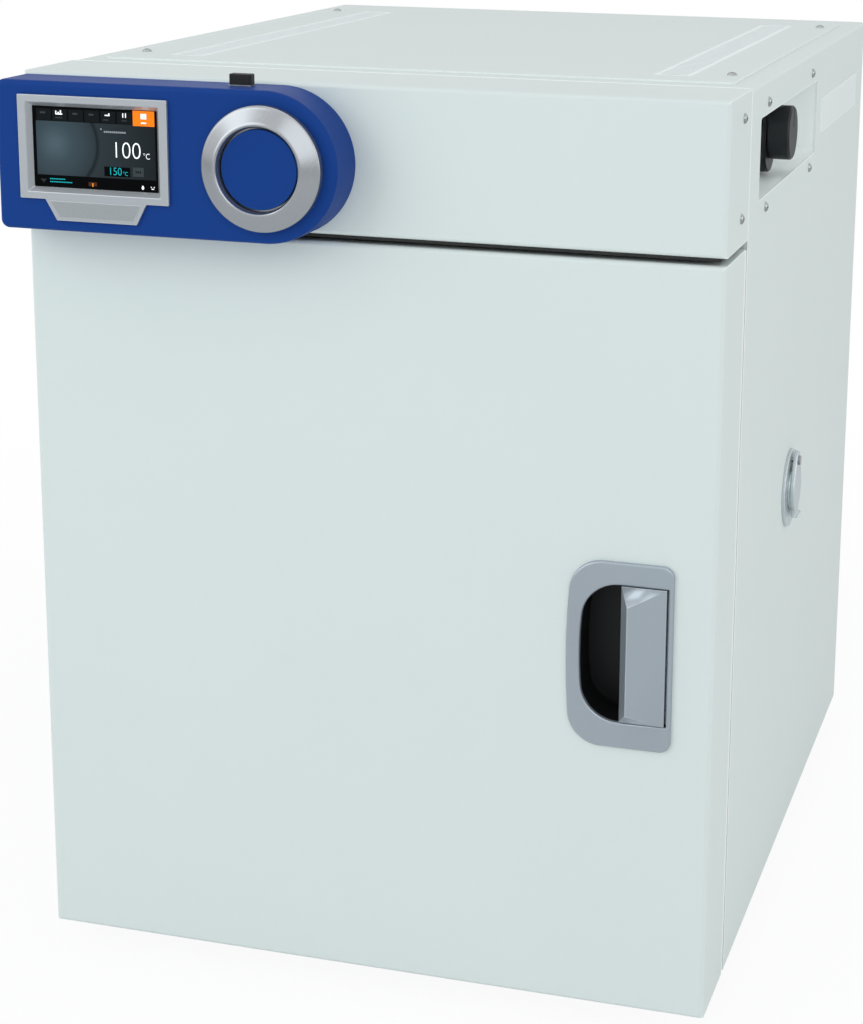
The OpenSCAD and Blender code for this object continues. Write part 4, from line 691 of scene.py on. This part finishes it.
# Camera at the photograph's viewing angle.
AZIMUTH, ELEVATION, ROLL = 0.278295, 0.230617, 0.010731
CAMERA_PLACE = (0.512341, -1.695302, 0.835204)
FOCAL_PX, PHOTO_H_PX, SENSOR = 2236.19, 1024, 36.0
camera_data = bpy.data.cameras.new("camera")
camera_data.sensor_fit = "VERTICAL"
camera_data.sensor_height = SENSOR
camera_data.sensor_width = SENSOR
camera_data.lens = FOCAL_PX / PHOTO_H_PX * SENSOR
camera_data.shift_x = -0.0864
camera_data.shift_y = -0.1582
camera_data.clip_end = 60
camera = bpy.data.objects.new("camera", camera_data)
bpy.context.scene.collection.objects.link(camera)
forward = Vector((-math.sin(AZIMUTH) * math.cos(ELEVATION), math.cos(AZIMUTH) * math.cos(ELEVATION),
                  -math.sin(ELEVATION)))
right = forward.cross(Vector((0, 0, 1))).normalized()
up = right.cross(forward)
turn = Matrix((right, up, -forward)).transposed().to_4x4()
camera.matrix_world = Matrix.Translation(CAMERA_PLACE) @ turn @ Matrix.Rotation(ROLL, 4, "Z")
bpy.context.scene.camera = camera

# Pale floor: painted board near the object, where its shadow falls, fading into the white surroundings.
shape = bmesh.new()
bmesh.ops.create_grid(shape, x_segments=1, y_segments=1, size=14)
floor = bpy.data.objects.new("floor", close_mesh("floor", shape))
bpy.context.scene.collection.objects.link(floor)
floor_paint, tree, shader, place = start("studio_floor")
mottle = add(tree, "ShaderNodeTexNoise", {"Scale": 3.0}, {"Vector": place})
tone = add(tree, "ShaderNodeMix", {6: linear("#f0f1f1"), 7: linear("#f6f6f6")}, {0: mottle.outputs["Fac"]},
           data_type="RGBA")
feed(tree, shader, Base_Color=tone.outputs[2])
shader.inputs["Roughness"].default_value = 0.8
shader.inputs["Specular IOR Level"].default_value = 0.1
reach = add(tree, "ShaderNodeMapping", {"Scale": (1.5, 1.5, 1.5)}, {"Vector": place}, vector_type="TEXTURE")
nearness = add(tree, "ShaderNodeTexGradient", gradient_type="SPHERICAL",
               links={"Vector": reach.outputs["Vector"]})
whiteness = add(tree, "ShaderNodeMapRange", {"From Min": 0.0, "From Max": 0.6, "To Min": 1.0, "To Max": 0.93},
                {"Value": nearness.outputs["Fac"]})
path = add(tree, "ShaderNodeLightPath")
seen = add(tree, "ShaderNodeMath", operation="MAXIMUM",
           links={0: path.outputs["Is Camera Ray"], 1: path.outputs["Is Transmission Ray"]})
share = add(tree, "ShaderNodeMath", operation="MULTIPLY",
            links={0: seen.outputs[0], 1: whiteness.outputs["Result"]})
glare = add(tree, "ShaderNodeEmission", {"Color": (1, 1, 1, 1), "Strength": 1.0})
blend = add(tree, "ShaderNodeMixShader", links={0: share.outputs[0], 1: shader.outputs["BSDF"],
                                                2: glare.outputs["Emission"]})
tree.links.new(blend.outputs[0], tree.nodes["Material Output"].inputs["Surface"])
floor.data.materials.append(floor_paint)

# Surroundings: white to the eye and in reflections, a softer sky as light.
world = bpy.data.worlds.new("studio")
bpy.context.scene.world = world
world.use_nodes = True
sky = world.node_tree
sky.nodes.clear()
path = add(sky, "ShaderNodeLightPath")
either = add(sky, "ShaderNodeMath", links={0: path.outputs["Is Camera Ray"], 1: path.outputs["Is Glossy Ray"]},
             operation="MAXIMUM")
any_view = add(sky, "ShaderNodeMath", links={0: either.outputs[0], 1: path.outputs["Is Transmission Ray"]},
               operation="MAXIMUM")
daylight = add(sky, "ShaderNodeBackground", {"Color": (0.95, 0.98, 1.0, 1), "Strength": 0.58})
backdrop = add(sky, "ShaderNodeBackground", {"Color": (1, 1, 1, 1), "Strength": 1.0})
blend = add(sky, "ShaderNodeMixShader", links={0: any_view.outputs[0], 1: daylight.outputs[0],
                                               2: backdrop.outputs[0]})
add(sky, "ShaderNodeOutputWorld", links={"Surface": blend.outputs[0]})


def lamp(name, place, aim, size, watts, colour="#ffffff"):
    """One soft rectangular lamp, aimed at a point."""
    data = bpy.data.lights.new(name, "AREA")
    data.shape = "RECTANGLE"
    data.size, data.size_y = size
    data.energy = watts
    data.color = linear(colour)[:3]
    holder = bpy.data.objects.new(name, data)
    bpy.context.scene.collection.objects.link(holder)
    toward = (Vector(aim) - Vector(place)).normalized()
    holder.matrix_world = Matrix.Translation(place) @ toward.to_track_quat("-Z", "Y").to_matrix().to_4x4()


lamp("key", (1.5, -2.7, 2.0), (0, -0.2, 0.35), (2.4, 2.4), 17, "#f8ffff")
lamp("fill", (-2.3, -2.5, 1.9), (0, -0.2, 0.35), (2.8, 2.8), 35.5, "#f8ffff")
lamp("top", (0.1, -0.3, 2.7), (0, 0, 0.5), (1.9, 1.9), 4)
lamp("back", (-0.7, 3.2, 0.3), (0, 0.2, 0.3), (1.9, 0.6), 11)
lamp("side", (3.0, 0.1, 1.1), (0.2, 0.1, 0.3), (1.5, 1.9), 13.5, "#fffdfc")

bpy.context.scene.view_settings.view_transform = "Standard"
